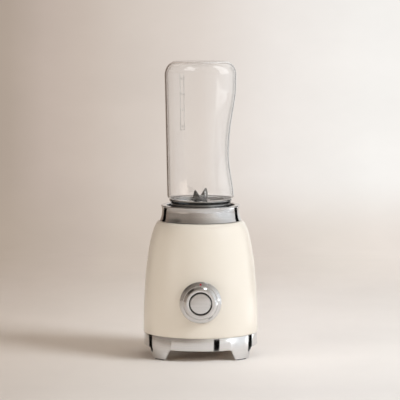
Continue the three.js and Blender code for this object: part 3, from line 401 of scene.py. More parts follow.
@dataclass(frozen=True)
class Finish:
    """A material: what the real one is and how its surface was made.

    name: its common name
    colour: its main sRGB colour
    shade: the colour that it varies toward
    roughness: mean roughness
    """

    name: str
    colour: str
    shade: str
    roughness: float

    def surface(self, tree: Tree) -> Socket:
        """Builds the shader in a material's tree and returns its output."""
        raise NotImplementedError

    def looks(
        self, tree: Tree, tone: Socket, wear: Socket, grain: Socket, depth: float,
        strength: float = 1.0, spread: float = 0.05, span: Pair = (0.3, 0.7),
    ) -> Links:
        """What feeds the shader's colour, roughness and normal.

        Args:
            tree: the material's tree.
            tone: the pattern that varies the colour.
            wear: the one that varies the roughness.
            grain: the one that stands out in relief.
            depth: how deep the relief is, in metres.
            strength: how much of it counts.
            spread: how far the roughness goes from its mean.
            span: the values where the first two patterns start and end.

        Returns:
            The links.
        """
        edges = {"From Min": span[0], "From Max": span[1]}
        share = add(tree, "ShaderNodeMapRange", edges, {"Value": tone}).outputs["Result"]
        tones = {"data_type": "RGBA", 6: tint(self.colour), 7: tint(self.shade)}
        sheen = {**edges, "To Min": self.roughness - spread, "To Max": self.roughness + spread}
        relief = {"Strength": strength, "Distance": depth}
        return {
            "Base Color": add(tree, "ShaderNodeMix", tones, {0: share}).outputs[2],
            "Roughness": add(tree, "ShaderNodeMapRange", sheen, {"Value": wear}).outputs["Result"],
            "Normal": add(tree, "ShaderNodeBump", relief, {"Height": grain}).outputs["Normal"],
        }

    def material(self) -> bpy.types.Material:
        """The Blender material, made once.

        Returns:
            The material.
        """
        known = bpy.data.materials.get(self.name)
        if known:
            return known
        made = bpy.data.materials.new(self.name)
        made.use_nodes = True
        tree = made.node_tree
        tree.nodes.clear()
        add(tree, "ShaderNodeOutputMaterial", None, {"Surface": self.surface(tree)})
        return made


@dataclass(frozen=True)
class Enamel(Finish):
    """Sprayed and baked enamel on pressed steel: a glossy film over a faint orange peel."""

    peel: float = 420.0      # cells per metre: the peel of a sprayed film is 2 to 3 mm across
    film: float = 0.3        # coat weight

    def surface(self, tree: Tree) -> Socket:
        """Builds the shader of the enamel.

        Args:
            tree: the material's tree.

        Returns:
            The shader's output.
        """
        peel = cells(tree, (self.peel,) * 3, 1)
        drift = cells(tree, (14, 14, 14), 2)
        links = self.looks(tree, drift, drift, peel, 3e-6, 0.4, 0.04, (0, 1))
        film = {"IOR": 1.5, "Coat Weight": self.film, "Coat Roughness": 0.09, "Coat IOR": 1.5}
        return add(tree, "ShaderNodeBsdfPrincipled", film, links).outputs[0]


class Grain(Enum):
    """Which way a brushed metal's scratches run: cells per metre along X, Y and Z."""

    LEVEL = (9.0, 9.0, 1500.0)
    ACROSS = (14.0, 400.0, 1500.0)


@dataclass(frozen=True)
class WorkedMetal(Finish):
    """Metal whose tool left scratches that run one way and stretch its highlights."""

    pull: float = 0.8        # anisotropy
    turn: float = 0.25       # highlights spread across the scratches, a quarter turn from them
    depth: float = 3e-6
    axis: str = "Z"          # the axis that the scratches run round

    def worked(self, tree: Tree, lines: Socket, wear: Socket) -> Socket:
        """Builds the shader from the patterns of the scratches and of the wear.

        Args:
            tree: the material's tree.
            lines: the scratches.
            wear: what varies the roughness.

        Returns:
            The shader's output.
        """
        run = {"direction_type": "RADIAL", "axis": self.axis}
        links = self.looks(tree, lines, wear, lines, self.depth)
        links["Tangent"] = add(tree, "ShaderNodeTangent", run).outputs[0]
        metal = {"Metallic": 1.0, "Anisotropic": self.pull, "Anisotropic Rotation": self.turn}
        return add(tree, "ShaderNodeBsdfPrincipled", metal, links).outputs[0]


@dataclass(frozen=True)
class BrushedSteel(WorkedMetal):
    """Stainless steel drawn over a fine belt: long scratches one way.

    A belt leaves scratches about 0.1 mm apart; they are drawn 0.7 mm apart, so that they show.
    """

    grain: Grain = Grain.LEVEL
    brushed: float = 7 / 15     # how much of the wear comes from the belt, and how much from hands
    handled: float = 0.2
    least: float = 1 / 6        # what is there without either

    def surface(self, tree: Tree) -> Socket:
        """Builds the shader of the brushed steel.

        Args:
            tree: the material's tree.

        Returns:
            The shader's output.
        """
        lines = cells(tree, self.grain.value, 4)
        handling = cells(tree, (25, 25, 25), 2)
        share = {"operation": "MULTIPLY_ADD", 1: self.brushed, 2: self.least}
        belt = add(tree, "ShaderNodeMath", share, {0: lines}).outputs[0]
        share = {"operation": "MULTIPLY_ADD", 1: self.handled}
        wear = add(tree, "ShaderNodeMath", share, {0: handling, 2: belt}).outputs[0]
        return self.worked(tree, lines, wear)


@dataclass(frozen=True)
class TurnedMetal(WorkedMetal):
    """Metal faced on a lathe about one axis: fine rings that catch the light as a fan.

    The tool leaves rings about 0.1 mm apart; they are drawn 0.6 mm apart, so that they show.
    """

    centre: Triple = (0.0, 0.0, 0.0)
    squeeze: Triple = (1.0, 1.0, 0.0)   # keeps the two directions of the face
    pitch: float = 1700.0               # rings per metre

    def surface(self, tree: Tree) -> Socket:
        """Builds the shader of the turned metal.

        Args:
            tree: the material's tree.

        Returns:
            The shader's output.
        """
        place = add(tree, "ShaderNodeTexCoord").outputs["Object"]
        shift = {"operation": "SUBTRACT", 1: self.centre}
        middle = add(tree, "ShaderNodeVectorMath", shift, {0: place}).outputs[0]
        press = {"operation": "MULTIPLY", 1: self.squeeze}
        flat = add(tree, "ShaderNodeVectorMath", press, {0: middle}).outputs[0]
        out = add(tree, "ShaderNodeVectorMath", {"operation": "LENGTH"}, {0: flat}).outputs["Value"]
        far = add(tree, "ShaderNodeMath", {"operation": "MULTIPLY", 1: self.pitch}, {0: out}).outputs[0]
        settings = {"noise_dimensions": "1D", "Scale": 1.0, "Detail": 2.0}
        lines = add(tree, "ShaderNodeTexNoise", settings, {"W": far}).outputs["Fac"]
        return self.worked(tree, lines, lines)


@dataclass(frozen=True)
class PlainMetal(Finish):
    """Cast, drawn or machined metal: an even sheen broken by a fine random grain."""

    cells: float = 900.0     # per metre
    depth: float = 8e-6

    def surface(self, tree: Tree) -> Socket:
        """Builds the shader of the metal."""
        grain = cells(tree, (self.cells,) * 3, 3)
        links = self.looks(tree, grain, grain, grain, self.depth, spread=0.06)
        return add(tree, "ShaderNodeBsdfPrincipled", {"Metallic": 1.0}, links).outputs[0]


@dataclass(frozen=True)
class Moulded(Finish):
    """Moulded plastic or rubber with a spark-eroded texture from its tool."""

    cells: float = 1400.0    # per metre: the texture's grains are 0.3 to 0.8 mm
    depth: float = 2e-5
    ior: float = 1.5

    def surface(self, tree: Tree) -> Socket:
        """Builds the shader of the plastic.

        Args:
            tree: the material's tree.

        Returns:
            The shader's output.
        """
        grain = cells(tree, (self.cells,) * 3, 2)
        cloud = cells(tree, (60, 60, 60), 3)
        links = self.looks(tree, cloud, cloud, grain, self.depth, 0.6)
        return add(tree, "ShaderNodeBsdfPrincipled", {"IOR": self.ior}, links).outputs[0]


@dataclass(frozen=True)
class Striped(Finish):
    """Wire or sheet in layers: fine parallel lines along one direction."""

    stretch: Triple = (0.0, 0.0, 700.0)   # lines per metre, for layers of 0.5 to 1 mm
    metallic: float = 1.0

    def surface(self, tree: Tree) -> Socket:
        """Builds the shader of the layers.

        Args:
            tree: the material's tree.

        Returns:
            The shader's output.
        """
        place = add(tree, "ShaderNodeTexCoord").outputs["Object"]
        squeezed = add(tree, "ShaderNodeMapping", {"Scale": self.stretch}, {"Vector": place}).outputs[0]
        settings = {"wave_type": "BANDS", "bands_direction": "DIAGONAL", "Scale": 0.3, "Distortion": 0.6}
        layers = add(tree, "ShaderNodeTexWave", settings, {"Vector": squeezed}).outputs["Fac"]
        tones = {"data_type": "RGBA", 6: tint(self.shade), 7: tint(self.colour)}
        links = {
            "Base Color": add(tree, "ShaderNodeMix", tones, {0: layers}).outputs[2],
            "Normal": add(tree, "ShaderNodeBump", {"Distance": 1e-4}, {"Height": layers}).outputs["Normal"],
        }
        metal = {"Metallic": self.metallic, "Roughness": self.roughness}
        return add(tree, "ShaderNodeBsdfPrincipled", metal, links).outputs[0]


@dataclass(frozen=True)
class ClearPlastic(Finish):
    """Clear moulded copolyester: colourless, its walls a little wavy from the mould."""

    ior: float = 1.54

    def surface(self, tree: Tree) -> Socket:
        """Builds the shader of the clear wall, which lets lamps through.

        Args:
            tree: the material's tree.

        Returns:
            The shader's output.
        """
        waves = cells(tree, (30, 30, 18), 1)
        sheen = {
            "From Min": 0.3, "From Max": 0.7, "To Min": self.roughness, "To Max": self.roughness + 0.015,
        }
        relief = {"Strength": 0.12, "Distance": 4e-4}
        links = {
            "Roughness": add(tree, "ShaderNodeMapRange", sheen, {"Value": waves}).outputs["Result"],
            "Normal": add(tree, "ShaderNodeBump", relief, {"Height": waves}).outputs["Normal"],
        }
        clear = {"Base Color": tint(self.colour), "Transmission Weight": 1.0, "IOR": self.ior}
        wall = add(tree, "ShaderNodeBsdfPrincipled", clear, links).outputs[0]
        through = add(tree, "ShaderNodeBsdfTransparent", {"Color": tint(self.shade)}).outputs[0]
        shadow = add(tree, "ShaderNodeLightPath").outputs["Is Shadow Ray"]
        return add(tree, "ShaderNodeMixShader", None, {0: shadow, 1: wall, 2: through}).outputs[0]


KNOB_HEIGHT = middle_height("knob_dial")
KNOB_CENTRE = (0.0, 0.0, KNOB_HEIGHT * MM)
FACE_PLANE = (1.0, 0.0, 1.0)      # the dial's face lies along X and Z

CREAM = Enamel("baked_cream_enamel", "dcd4c7", "d8cfc1", 0.33)
BAND = BrushedSteel("brushed_stainless_band", "eaebec", "dedfe0", 0.15, depth=6e-7)
RING = BrushedSteel("satin_aluminium_ring", "d5d5d6", "cbcccd", 0.15, depth=4e-7)
DIAL = TurnedMetal(
    "turned_aluminium_dial", "e6e6e7", "d4d5d6", 0.17, 0.4, 0.25, 2e-6, "Y", KNOB_CENTRE, FACE_PLANE, 1500.0,
)
FACE = BrushedSteel("brushed_aluminium_face", "e8e8e9", "dadbdc", 0.3, 0.45, 0.0, grain=Grain.ACROSS)
HOLDER = BrushedSteel("brushed_stainless_cup", "bcbdbd", "a5a6a6", 0.18, 0.5, depth=1e-6)
BLADES = BrushedSteel("ground_blade_steel", "8f8f8e", "7b7b7a", 0.14, 0.3, 0.0, 1e-6)
STEEL = PlainMetal("machined_steel", "b5b6b7", "9c9d9e", 0.3)
ALUMINIUM = PlainMetal("cast_aluminium", "a9aaab", "939495", 0.45, 500.0, 3e-5)
BRASS = PlainMetal("drawn_brass", "c9a55a", "b38f48", 0.32)
COPPER = Striped("enamelled_copper_wire", "b8693a", "7d3f1c", 0.35, (500.0, 500.0, 900.0))
LAMINATIONS = Striped("varnished_laminations", "6c6e71", "4a4b4e", 0.5, (0.0, 0.0, 900.0), 0.7)
CARBON = Moulded("pressed_carbon", "252526", "323233", 0.75, 2500.0)
BLACK = Moulded("black_nylon", "222120", "2a2928", 0.42)
PRINT = Moulded("grey_screen_ink", "c9c3bc", "beb8b1", 0.6)
# painted light: the plate's pale beige stands in for the warm light seen in the shade under the base
PLATE = Moulded("beige_plate_painted_light", "b3a290", "a69583", 0.5)
GREY = Moulded("grey_acetal", "8e908f", "868887", 0.36, 900.0, 8e-6)
RUBBER = Moulded("black_rubber", "1b1b1c", "242425", 0.78, 1800.0, 3e-5)
SILICONE = Moulded("translucent_silicone", "c3c6c6", "b9bcbc", 0.5, 700.0, 8e-6, 1.41)
SMOKED = Moulded("smoked_diffuser", "100f0e", "161413", 0.16, 900.0, 4e-6, 1.4)
RED = Moulded("red_enamel_dot", "b4062c", "a80428", 0.25, 900.0, 4e-6)
BOARD = Moulded("green_circuit_board", "1f5a3a", "28664a", 0.45, 600.0, 2e-5)
CLEAR = ClearPlastic("clear_copolyester", "ffffff", "f6f7f6", 0.006)
# painted light: the seat's pale grey lightens the shaded well round the blade cup
SEAT = Moulded("grey_seat_painted_light", "b4b6b8", "aaacae", 0.4, 900.0, 1e-5)


def made_object(name: str, bm: Drawing, finish: Finish) -> bpy.types.Object:
    """Makes an object of a drawing, which is used up.

    Args:
        name: its name.
        bm: the drawing, in metres.
        finish: its material.

    Returns:
        The object, in the scene.
    """
    mesh = bpy.data.meshes.new(name)
    bm.to_mesh(mesh)
    bm.free()
    mesh.materials.append(finish.material())
    made = bpy.data.objects.new(name, mesh)
    bpy.context.scene.collection.objects.link(made)
    return made


@dataclass
class Piece:
    """A finished piece of the object: its name, what it rides on, its finish and what it stands for."""

    name: str
    body: str
    finish: Finish
    stands_for: tuple[str, ...] = ()
    slot: str = ""
    crease: float = 32.0     # degrees; sharper edges stay sharp

    def settle(self, bm: Drawing) -> bpy.types.Object:
        """Makes the object from its drawing in millimetres.

        Args:
            bm: the drawing, which is used up.

        Returns:
            The object, riding on its body.
        """
        bmesh.ops.scale(bm, vec=(MM, MM, MM), verts=bm.verts)
        made = made_object(self.name, bm, self.finish)
        made.data.shade_smooth()
        made.data.set_sharp_from_angle(angle=math.radians(self.crease))
        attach(made, self.body)
        if self.stands_for:
            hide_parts(*self.stands_for)
        LOG.info("%s: %d faces, rides on %s", self.name, len(made.data.polygons), self.body)
        return made


# ---------------------------------------------------------------- stand


@dataclass
class Stand:
    """The brushed band with its four legs, and the rubber pads under them."""

    radius: float = 69.2
    wall: float = 2.6
    leg_height: float = 12.3
    leg_depth: float = 8.0
    leg_taper: float = 0.5      # how much narrower a leg is at its back
    bearing: float = 47.5
    top_spread: float = 30.0
    foot_spread: float = 19.0
    pad_spread: float = 11.4
    pad_front: float = 0.7      # how far a pad stays back from the leg's front and from its back
    pad_back: float = 1.2
    fillet: float = 3.0
    edge: float = 0.35

    def bearings(self) -> dict[str, float]:
        """The middle of each leg, in degrees from +X.

        Returns:
            The bearings by the leg's name.
        """
        return {
            "front_left": -90 - self.bearing, "front_right": self.bearing - 90,
            "rear_right": 90 - self.bearing, "rear_left": 90 + self.bearing,
        }

    def leg_line(self, bearing: float, foot: float, brow: float) -> Profile:
        """The lower edge of the unrolled band round one leg.

        Args:
            bearing: middle of the leg, in degrees.
            foot: height of its sole.
            brow: height of the band's lower edge.

        Returns:
            Points of (way round the band, height).
        """
        top = self.radius * math.radians(self.top_spread / 2)
        low = self.radius * math.radians(self.foot_spread / 2)
        share = self.fillet / math.hypot(top - low, brow - foot)
        start = Vector((top - (top - low) * share, brow - (brow - foot) * share))
        corner = Vector((top, brow))
        end = Vector((top + self.fillet, brow))
        shares = [i / FILLET_STEPS for i in range(FILLET_STEPS + 1)]
        curve = [start * (1 - t) ** 2 + corner * 2 * t * (1 - t) + end * t**2 for t in shares]
        right = [(low, foot), *[(p.x, p.y) for p in curve]]
        middle = self.radius * math.radians(bearing)
        whole = [(-x, z) for x, z in reversed(right)] + right
        return [(middle + x, z) for x, z in whole]

    def unrolled(self, foot: float, brow: float, top: float) -> Drawing:
        """The sheet that the band and its legs are cut from.

        Args:
            foot: height of the soles.
            brow: height of the band's lower edge.
            top: height of its upper edge.

        Returns:
            The flat sheet, divided where it is rolled.
        """
        half = self.radius * math.pi
        line = [(-half, brow)]
        for bearing in self.bearings().values():
            line += self.leg_line(bearing, foot, brow)
        line += [(half, brow), (half, top), (-half, top)]
        bm = bmesh.new()
        bm.faces.new([bm.verts.new((x, 0.0, z)) for x, z in line])
        cuts = [((-half + 2 * half * i / ROUND, 0, 0), (1, 0, 0)) for i in range(1, ROUND)]
        for place, way in [*cuts, ((0, 0, brow), (0, 0, 1))]:
            whole = bm.verts[:] + bm.edges[:] + bm.faces[:]
            bmesh.ops.bisect_plane(bm, geom=whole, dist=1e-3, plane_co=place, plane_no=way)
        return bm

    def thicken(self, bm: Drawing, brow: float, top: float) -> None:
        """Gives the sheet its wall and the legs their depth, narrowing toward the back.

        Args:
            bm: the flat sheet.
            brow: height of the band's lower edge.
            top: height of its upper edge.
        """
        for depth, below in ((self.wall, top), (self.leg_depth - self.wall, brow)):
            faces = [f for f in bm.faces if f.calc_center_median().z < below and abs(f.normal.y) > 0.9]
            faces = [f for f in faces if f.calc_center_median().y > self.wall / 2] or faces
            back = corners_of(bmesh.ops.extrude_face_region(bm, geom=faces)["geom"])
            bmesh.ops.translate(bm, vec=(0, depth, 0), verts=back)
            bm.normal_update()
        middles = [self.radius * math.radians(bearing) for bearing in self.bearings().values()]
        for v in back:
            middle = min(middles, key=lambda m: abs(v.co.x - m))
            v.co.x += (middle - v.co.x) * self.leg_taper

    def band(self) -> Drawing:
        """The band cut flat from sheet, thickened, rolled up and welded.

        Returns:
            The closed body.
        """
        foot, top = levels("base_band")
        brow = foot + self.leg_height
        bm = self.unrolled(foot, brow, top)
        self.thicken(bm, brow, top)
        half = self.radius * math.pi
        ends = [f for f in bm.faces if all(abs(abs(v.co.x) - half) < 1e-3 for v in f.verts)]
        bmesh.ops.delete(bm, geom=ends, context="FACES")
        for v in bm.verts:
            turn = v.co.x / self.radius
            reach = self.radius - v.co.y
            v.co = Vector((reach * math.cos(turn), reach * math.sin(turn), v.co.z))
        sound(bm)
        ease_edges(bm, self.edge, 50)
        return bm

    def pad(self, node: str, bearing: float) -> Drawing:
        """A foot pad under the leg at a bearing.

        Args:
            node: the CAD node that it stands for.
            bearing: the leg's middle, in degrees from +X.

        Returns:
            The closed body.
        """
        low, high = levels(node)
        outer, inner = self.radius - self.pad_front, self.radius - self.leg_depth + self.pad_back
        section = [(inner, low, 0.3), (outer, low, 0.4), (outer, high), (inner, high)]
        return sector(section, bearing, self.pad_spread, 12)

    def build(self) -> None:
        """Builds the band and its foot pads."""
        Piece("stand_band", "base", BAND, ("base_band",), "brushed_band", 30).settle(self.band())
        for corner, bearing in self.bearings().items():
            node = f"foot_pad_{corner}"
            Piece(f"pad_{corner}", "base", RUBBER, (node,), "foot_rubber").settle(self.pad(node, bearing))


# ---------------------------------------------------------------- shell and collar ring


@dataclass
class Housing:
    """The enamelled shell and the concave ring on top of it."""

    foot_radius: float = 69.85
    top_radius: float = 49.5
    wall: float = 2.8
    mouth: float = 43.75
    bushing_hole: float = 6.5
    gland_hole: float = 8.0
    ring_waist: float = 47.1
    ring_rim: float = 48.2
    ring_mouth: float = 41.5
    ring_lip: float = 1.3
    ring_skirt: float = 2.3
    ring_rebate: float = 2.8     # how far the ring sits over the shell's top
    ring_crown: float = 1.3      # how far the polished lip stands over the solid's

    def skin(self, inset: float, steps: int) -> Profile:
        """The shell's quarter ellipse, set inward along its normal.

        Args:
            inset: how far inward.
            steps: steps of the quarter.

        Returns:
            Points from the foot up.
        """
        bottom, top = levels("base_band")[1] + GAP, levels("body_shell")[1]
        height, span = top - bottom, self.foot_radius - self.top_radius
        line = []
        for i in range(steps + 1):
            turn = math.pi / 2 * i / steps
            across, up = math.cos(turn), math.sin(turn)
            length = math.hypot(height * across, span * up)
            line.append((
                self.top_radius + span * across - inset * height * across / length,
                bottom + height * up - inset * span * up / length,
            ))
        return line

    def shell(self) -> Drawing:
        """The shell with its openings for the knob's bushing and the cord gland.

        Returns:
            The closed body.
        """
        top = levels("body_shell")[1]
        outer = self.skin(0, 64)
        outer[0] = (*outer[0], 0.6)
        inner = [p for p in self.skin(self.wall, 24) if p[1] < top - self.wall * 1.5]
        profile = [*outer, (self.mouth, top), (self.mouth, top - self.wall), *reversed(inner)]
        bm = turned(profile, ROUND)
        for hole, height, way in (
            (self.bushing_hole, KNOB_HEIGHT, FRONT), (self.gland_hole, middle_height("cord_gland"), BACK),
        ):
            drill = moved(rod(hole, 30, 90), Matrix.Translation((0, 0, height)) @ way)
            bm = fused(bm, drill, Fusion.CUT)
        return bm

    def ring(self) -> Drawing:
        """The collar ring: a hollow flank, a thin rim and a rebated skirt.

        Returns:
            The closed body.
        """
        bottom, top = levels("top_ring")
        top += self.ring_crown
        height = top - bottom
        flank = eased_line([
            (self.top_radius, bottom),
            (self.ring_waist + 0.75, bottom + height * 0.26),
            (self.ring_waist + 0.1, bottom + height * 0.5),
            (self.ring_waist, bottom + height * 0.72),
            (self.ring_rim - 0.5, top - self.ring_lip * 1.6),
            (self.ring_rim, top - self.ring_lip * 0.7),
        ], 30)
        rebate = levels("body_shell")[1] + self.ring_rebate
        skirt = self.top_radius - self.ring_skirt
        return turned([
            *flank,
            (self.ring_rim, top, 0.7), (self.ring_mouth, top, 0.7),
            (self.ring_mouth, top - self.ring_lip), (self.mouth, top - self.ring_lip),
            (self.mouth, rebate), (skirt, rebate), (skirt, bottom),
        ], ROUND)

    def build(self) -> None:
        """Builds the shell and the ring."""
        Piece("enamelled_shell", "base", CREAM, ("body_shell",), "cream_enamel").settle(self.shell())
        Piece("collar_ring", "base", RING, ("top_ring",), "satin_metal").settle(self.ring())


# ---------------------------------------------------------------- knob


@dataclass
class Knob:
    """The dial with its index dot, light ring and pulse button; its saddle stays as imported."""

    radius: float = 25.0
    edge: float = 2.0
    bevel_radius: float = 20.8
    bevel_rise: float = 3.6
    step_radius: float = 20.4
    step_rise: float = 3.4
    face_radius: float = 17.5
    groove_depth: float = 1.0
    skirt_wall: float = 1.6
    light_outer: float = 13.8
    light_inner: float = 12.4
    web_depth: float = 3.8 + GAP     # how far the web lies behind the button's face
    web_thick: float = 1.9
    bore: float = 6.0
    button_radius: float = 12.1
    cap_thick: float = 2.4
    stem_radius: float = 1.5
    dot_rise: float = 0.2

    def dial(self) -> Drawing:
        """The turned dial: two steps, a groove between them, a well for the light ring and a web.

        Returns:
            The closed body, its face up.
        """
        low, high = extent("knob_dial")
        back, face = -high.y, -low.y
        bevel = back + self.edge + self.bevel_rise
        groove = bevel - self.groove_depth
        step = bevel + self.step_rise
        well = self.light_outer + GAP / 2
        light_floor = -extent("light_ring")[1].y - GAP / 2
        web = -extent("pulse_button")[0].y - self.web_depth
        skirt = self.step_radius - self.skirt_wall
        return turned([
            (skirt, back), (self.radius, back, 0.4), (self.radius, back + self.edge, 0.5),
            (self.bevel_radius, bevel, 0.3), (self.bevel_radius - 0.1, groove),
            (self.step_radius - 0.2, groove), (self.step_radius, step, 0.6),
            (self.face_radius, face, 0.7), (well, face, 0.15),
            (well, light_floor), (self.light_inner, light_floor), (self.light_inner, web),
            (self.bore, web), (self.bore, web - self.web_thick), (skirt, web - self.web_thick),
        ], ROUND)

    def light(self) -> Drawing:
        """The ring that shows when the motor is on.

        Returns:
            The closed body, its face up.
        """
        low, high = extent("light_ring")
        inner = self.light_inner + GAP / 2
        outer = self.light_outer
        section = [(inner, -high.y), (outer, -high.y), (outer, -low.y, 0.3), (inner, -low.y, 0.3)]
        return turned(section, ROUND)

    def button(self) -> Drawing:
        """The button's slightly crowned cap and its stem.

        Returns:
            Cap and stem, the face up.
        """
        low, high = extent("pulse_button")
        face = -low.y
        back = face - self.cap_thick
        section = [(0, back), (self.button_radius, back), (self.button_radius, face - 0.1, 0.6), (0, face)]
        return together(turned(section, ROUND, closed=False), rod(self.stem_radius, -high.y, back + 0.4))

    def dot(self) -> Drawing:
        """The enamelled dot on the dial's face."""
        low, high = extent("index_dot")
        return rod((high.x - low.x) / 2, -high.y, -low.y + self.dot_rise, 0.3)

    def faced(self, bm: Drawing, height: float) -> Drawing:
        """Turns a drawing to the front and lifts it to a height."""
        return moved(bm, Matrix.Translation((0, 0, height)) @ FRONT)

    def build(self) -> None:
        """Builds the dial, the light ring, the pulse button and the index dot."""
        for piece, bm in (
            (Piece("dial_knob", "knob", DIAL, ("knob_dial",), "brushed_knob", 20), self.dial()),
            (Piece("status_light_ring", "knob", SMOKED, ("light_ring",), "dark_diffuser"), self.light()),
            (Piece("pulse_button_cap", "button", FACE, ("pulse_button",), "brushed_knob"), self.button()),
        ):
            piece.settle(self.faced(bm, KNOB_HEIGHT))
        dot = self.faced(self.dot(), middle_height("index_dot"))
        Piece("index_mark", "knob", RED, ("index_dot",), "red_enamel").settle(dot)


# ---------------------------------------------------------------- blade unit


@dataclass
class BladeUnit:
    """The cup that closes the bottle, with its blades."""

    collar: float = 36.5
    wall: float = 2.5
    lip: float = 38.2
    lip_height: float = 29.2
    lip_thick: float = 1.2
    lip_curve: float = 2.6
    groove_depth: float = 12.9
    groove_width: float = 4.5
    floor: float = 2.4
    crown: float = 1.4
    hub: float = 8.0
    hub_rise: float = 1.4
    bore: float = 5.5
    lug_reach: float = 40.7
    lug_spread: float = 34.0
    lug_low: float = 1.0        # heights over the cup's foot
    lug_high: float = 5.0
    lug_sink: float = 0.6
    blade_width: float = 9.0
    blade_thick: float = 1.5
    blade_bore: float = 3.3
    grind: float = 1.1          # how far the ground edge reaches in
    straight: float = 0.35      # share of the leading edge that stays parallel, and how the rest narrows
    sweep: float = 1.512
    overlap: float = 0.6        # how far an arm reaches into the blade's middle
    root: float = 9.2
    wing_length: float = 13.6
    wing_tip: float = 2.6
    wing_lift: float = 53.0
    arm_length: float = 14.0
    arm_tip: float = 3.64
    arm_drop: float = 9.0
    upper_bearing: float = 67.0
    lower_bearing: float = -23.0
    nut_radius: float = 5.0
    shaft_radius: float = 3.0
    washer_radius: float = 6.0

    def cup(self) -> Drawing:
        """The turned cup with its skirt, lip, groove and hub, and the three bayonet lugs.

        Returns:
            The cup and the lugs.
        """
        foot = levels("blade_holder")[0]
        hub_top = levels("shaft_seal")[1]
        lip = foot + self.lip_height
        groove = lip - self.groove_depth
        cup = self.collar - self.wall
        inner = cup - self.groove_width
        plateau = hub_top - self.hub_rise - self.crown
        hub_foot = levels("driven_coupling")[1] + 2 * GAP
        body = turned([
            (cup, foot), (self.collar, foot, 0.5),
            (self.collar, lip - self.lip_thick - self.lip_curve, 1.5),
            (self.lip, lip - self.lip_thick, 0.3), (self.lip, lip, 0.5), (cup, lip, 0.5),
            (cup, groove), (inner, groove), (inner, plateau - 0.4, 1.2),
            (inner * 0.6, plateau + self.crown * 0.7, 2.0),
            (self.hub + 1.2, hub_top - self.hub_rise, 0.5), (self.hub, hub_top, 0.4), (self.bore, hub_top),
            (self.bore, hub_foot), (self.hub, hub_foot),
            (self.hub, plateau + self.crown * 0.5 - self.floor),
            (inner - self.floor, plateau - self.floor - 1), (inner - self.floor, groove - self.floor),
            (cup, groove - self.floor),
        ], ROUND)
        root, low, high = self.collar - self.lug_sink, foot + self.lug_low, foot + self.lug_high
        lug = [(root, low), (self.lug_reach, low, 0.4), (self.lug_reach, high, 0.4), (root, high)]
        return together(body, *[sector(lug, bearing, self.lug_spread, 12) for bearing in (-90, 30, 150)])

    def arm(self, length: float, tip: float, bend: float, bottom: float) -> Drawing:
        """One arm of a blade: cut from strip, its leading edge ground, bent where it leaves the middle.

        Args:
            length: from the bend to the tip.
            tip: width of the tip.
            bend: degrees up.
            bottom: height of the blade's underside.

        Returns:
            The arm, pointing to +X.
        """
        half = self.blade_width / 2
        shares = [i / LEAD_STEPS for i in range(1, LEAD_STEPS)]
        lead = [(length * t, -half * (1 - self.sweep * max(0.0, t - self.straight) ** 1.4)) for t in shares]
        line = [
            (-self.overlap, -half), *lead, (length, -tip / 2), (length + tip / 3, 0), (length, tip / 2),
            (length * 0.2, half), (-self.overlap, half),
        ]
        bm = slab(line, 0, self.blade_thick)
        edge = [
            e for e in bm.edges
            if all(v.co.z > self.blade_thick / 2 and v.co.y < 0 for v in e.verts)
            and any(v.co.x > 0.5 for v in e.verts)
        ]
        bevel(bm, edge, self.grind, 1)
        moved(bm, Matrix.Rotation(-math.radians(bend), 4, "Y"))
        return lifted(bm, self.root, 0, bottom)

    def blade(self, node: str, length: float, tip: float, bend: float, bearing: float) -> Drawing:
        """A two-armed blade with its bored middle.

        Args:
            node: the CAD node that it stands for.
            length: length of an arm.
            tip: width of an arm's tip.
            bend: degrees up.
            bearing: which way it points.

        Returns:
            The closed body.
        """
        low, high = levels(node)
        bottom = low if bend > 0 else high - self.blade_thick
        half = self.blade_width / 2
        outline = [(-self.root, -half), (self.root, -half), (self.root, half), (-self.root, half)]
        middle = slab(outline, bottom, bottom + self.blade_thick)
        for turn in (0, 180):
            middle = fused(middle, swung(self.arm(length, tip, bend, bottom), turn), Fusion.JOIN)
        middle = fused(middle, rod(self.blade_bore, bottom - 5, bottom + 5), Fusion.CUT)
        ease_edges(middle, 0.12, 45, 1)
        return swung(middle, bearing)

    def seal(self) -> Drawing:
        """The silicone ring in the cup's groove.

        Returns:
            The closed body.
        """
        low, high = levels("bottle_seal")
        cup = self.collar - self.wall
        outer, inner = cup - GAP, cup - self.groove_width + GAP
        return turned([(inner, low), (outer, low), (outer, high, 0.5), (inner, high, 0.5)], ROUND)

    def nut(self) -> Drawing:
        """The chamfered nut on the blades.

        Returns:
            The closed body.
        """
        low, high = levels("blade_nut")
        wide, flat = self.nut_radius + 1, self.nut_radius - 0.8
        section = [(0, low - 1), (wide, low - 1), (wide, high - 1.2), (flat, high), (0, high)]
        crown = turned(section, FINE, closed=False)
        nut = fused(hexagon(self.nut_radius, low, high), crown, Fusion.SHARE)
        return fused(nut, rod(self.blade_bore, low - 1, high + 1), Fusion.CUT)

    def build(self) -> None:
        """Builds the cup, the seal, the blades and what holds them."""
        Piece("blade_cup", "blade_unit", HOLDER, ("blade_holder",), "holder_metal").settle(self.cup())
        Piece("rim_seal", "thread", SILICONE, ("bottle_seal",), "seal_silicone").settle(self.seal())
        for node, length, tip, bend, bearing in (
            ("upper_blade", self.wing_length, self.wing_tip, self.wing_lift, self.upper_bearing),
            ("lower_blade", self.arm_length, self.arm_tip, -self.arm_drop, self.lower_bearing),
        ):
            blade = self.blade(node, length, tip, bend, bearing)
            Piece(f"{node}_ground", "cutter", BLADES, (node,), "blade_steel").settle(blade)
        shaft_low, shaft_high = levels("blade_shaft")
        washer_low, washer_high = levels("blade_spacer")
        washer = [
            (self.blade_bore, washer_low), (self.washer_radius, washer_low, 0.2),
            (self.washer_radius, washer_high, 0.2), (self.blade_bore, washer_high),
        ]
        for name, node, bm in (
            ("blade_nut_chamfered", "blade_nut", self.nut()),
            ("blade_shaft_turned", "blade_shaft", rod(self.shaft_radius, shaft_low, shaft_high, 0.5)),
            ("blade_washer", "blade_spacer", turned(washer, SMALL)),
        ):
            Piece(name, "cutter", STEEL, (node,), "plain_steel").settle(bm)


# ---------------------------------------------------------------- bottle


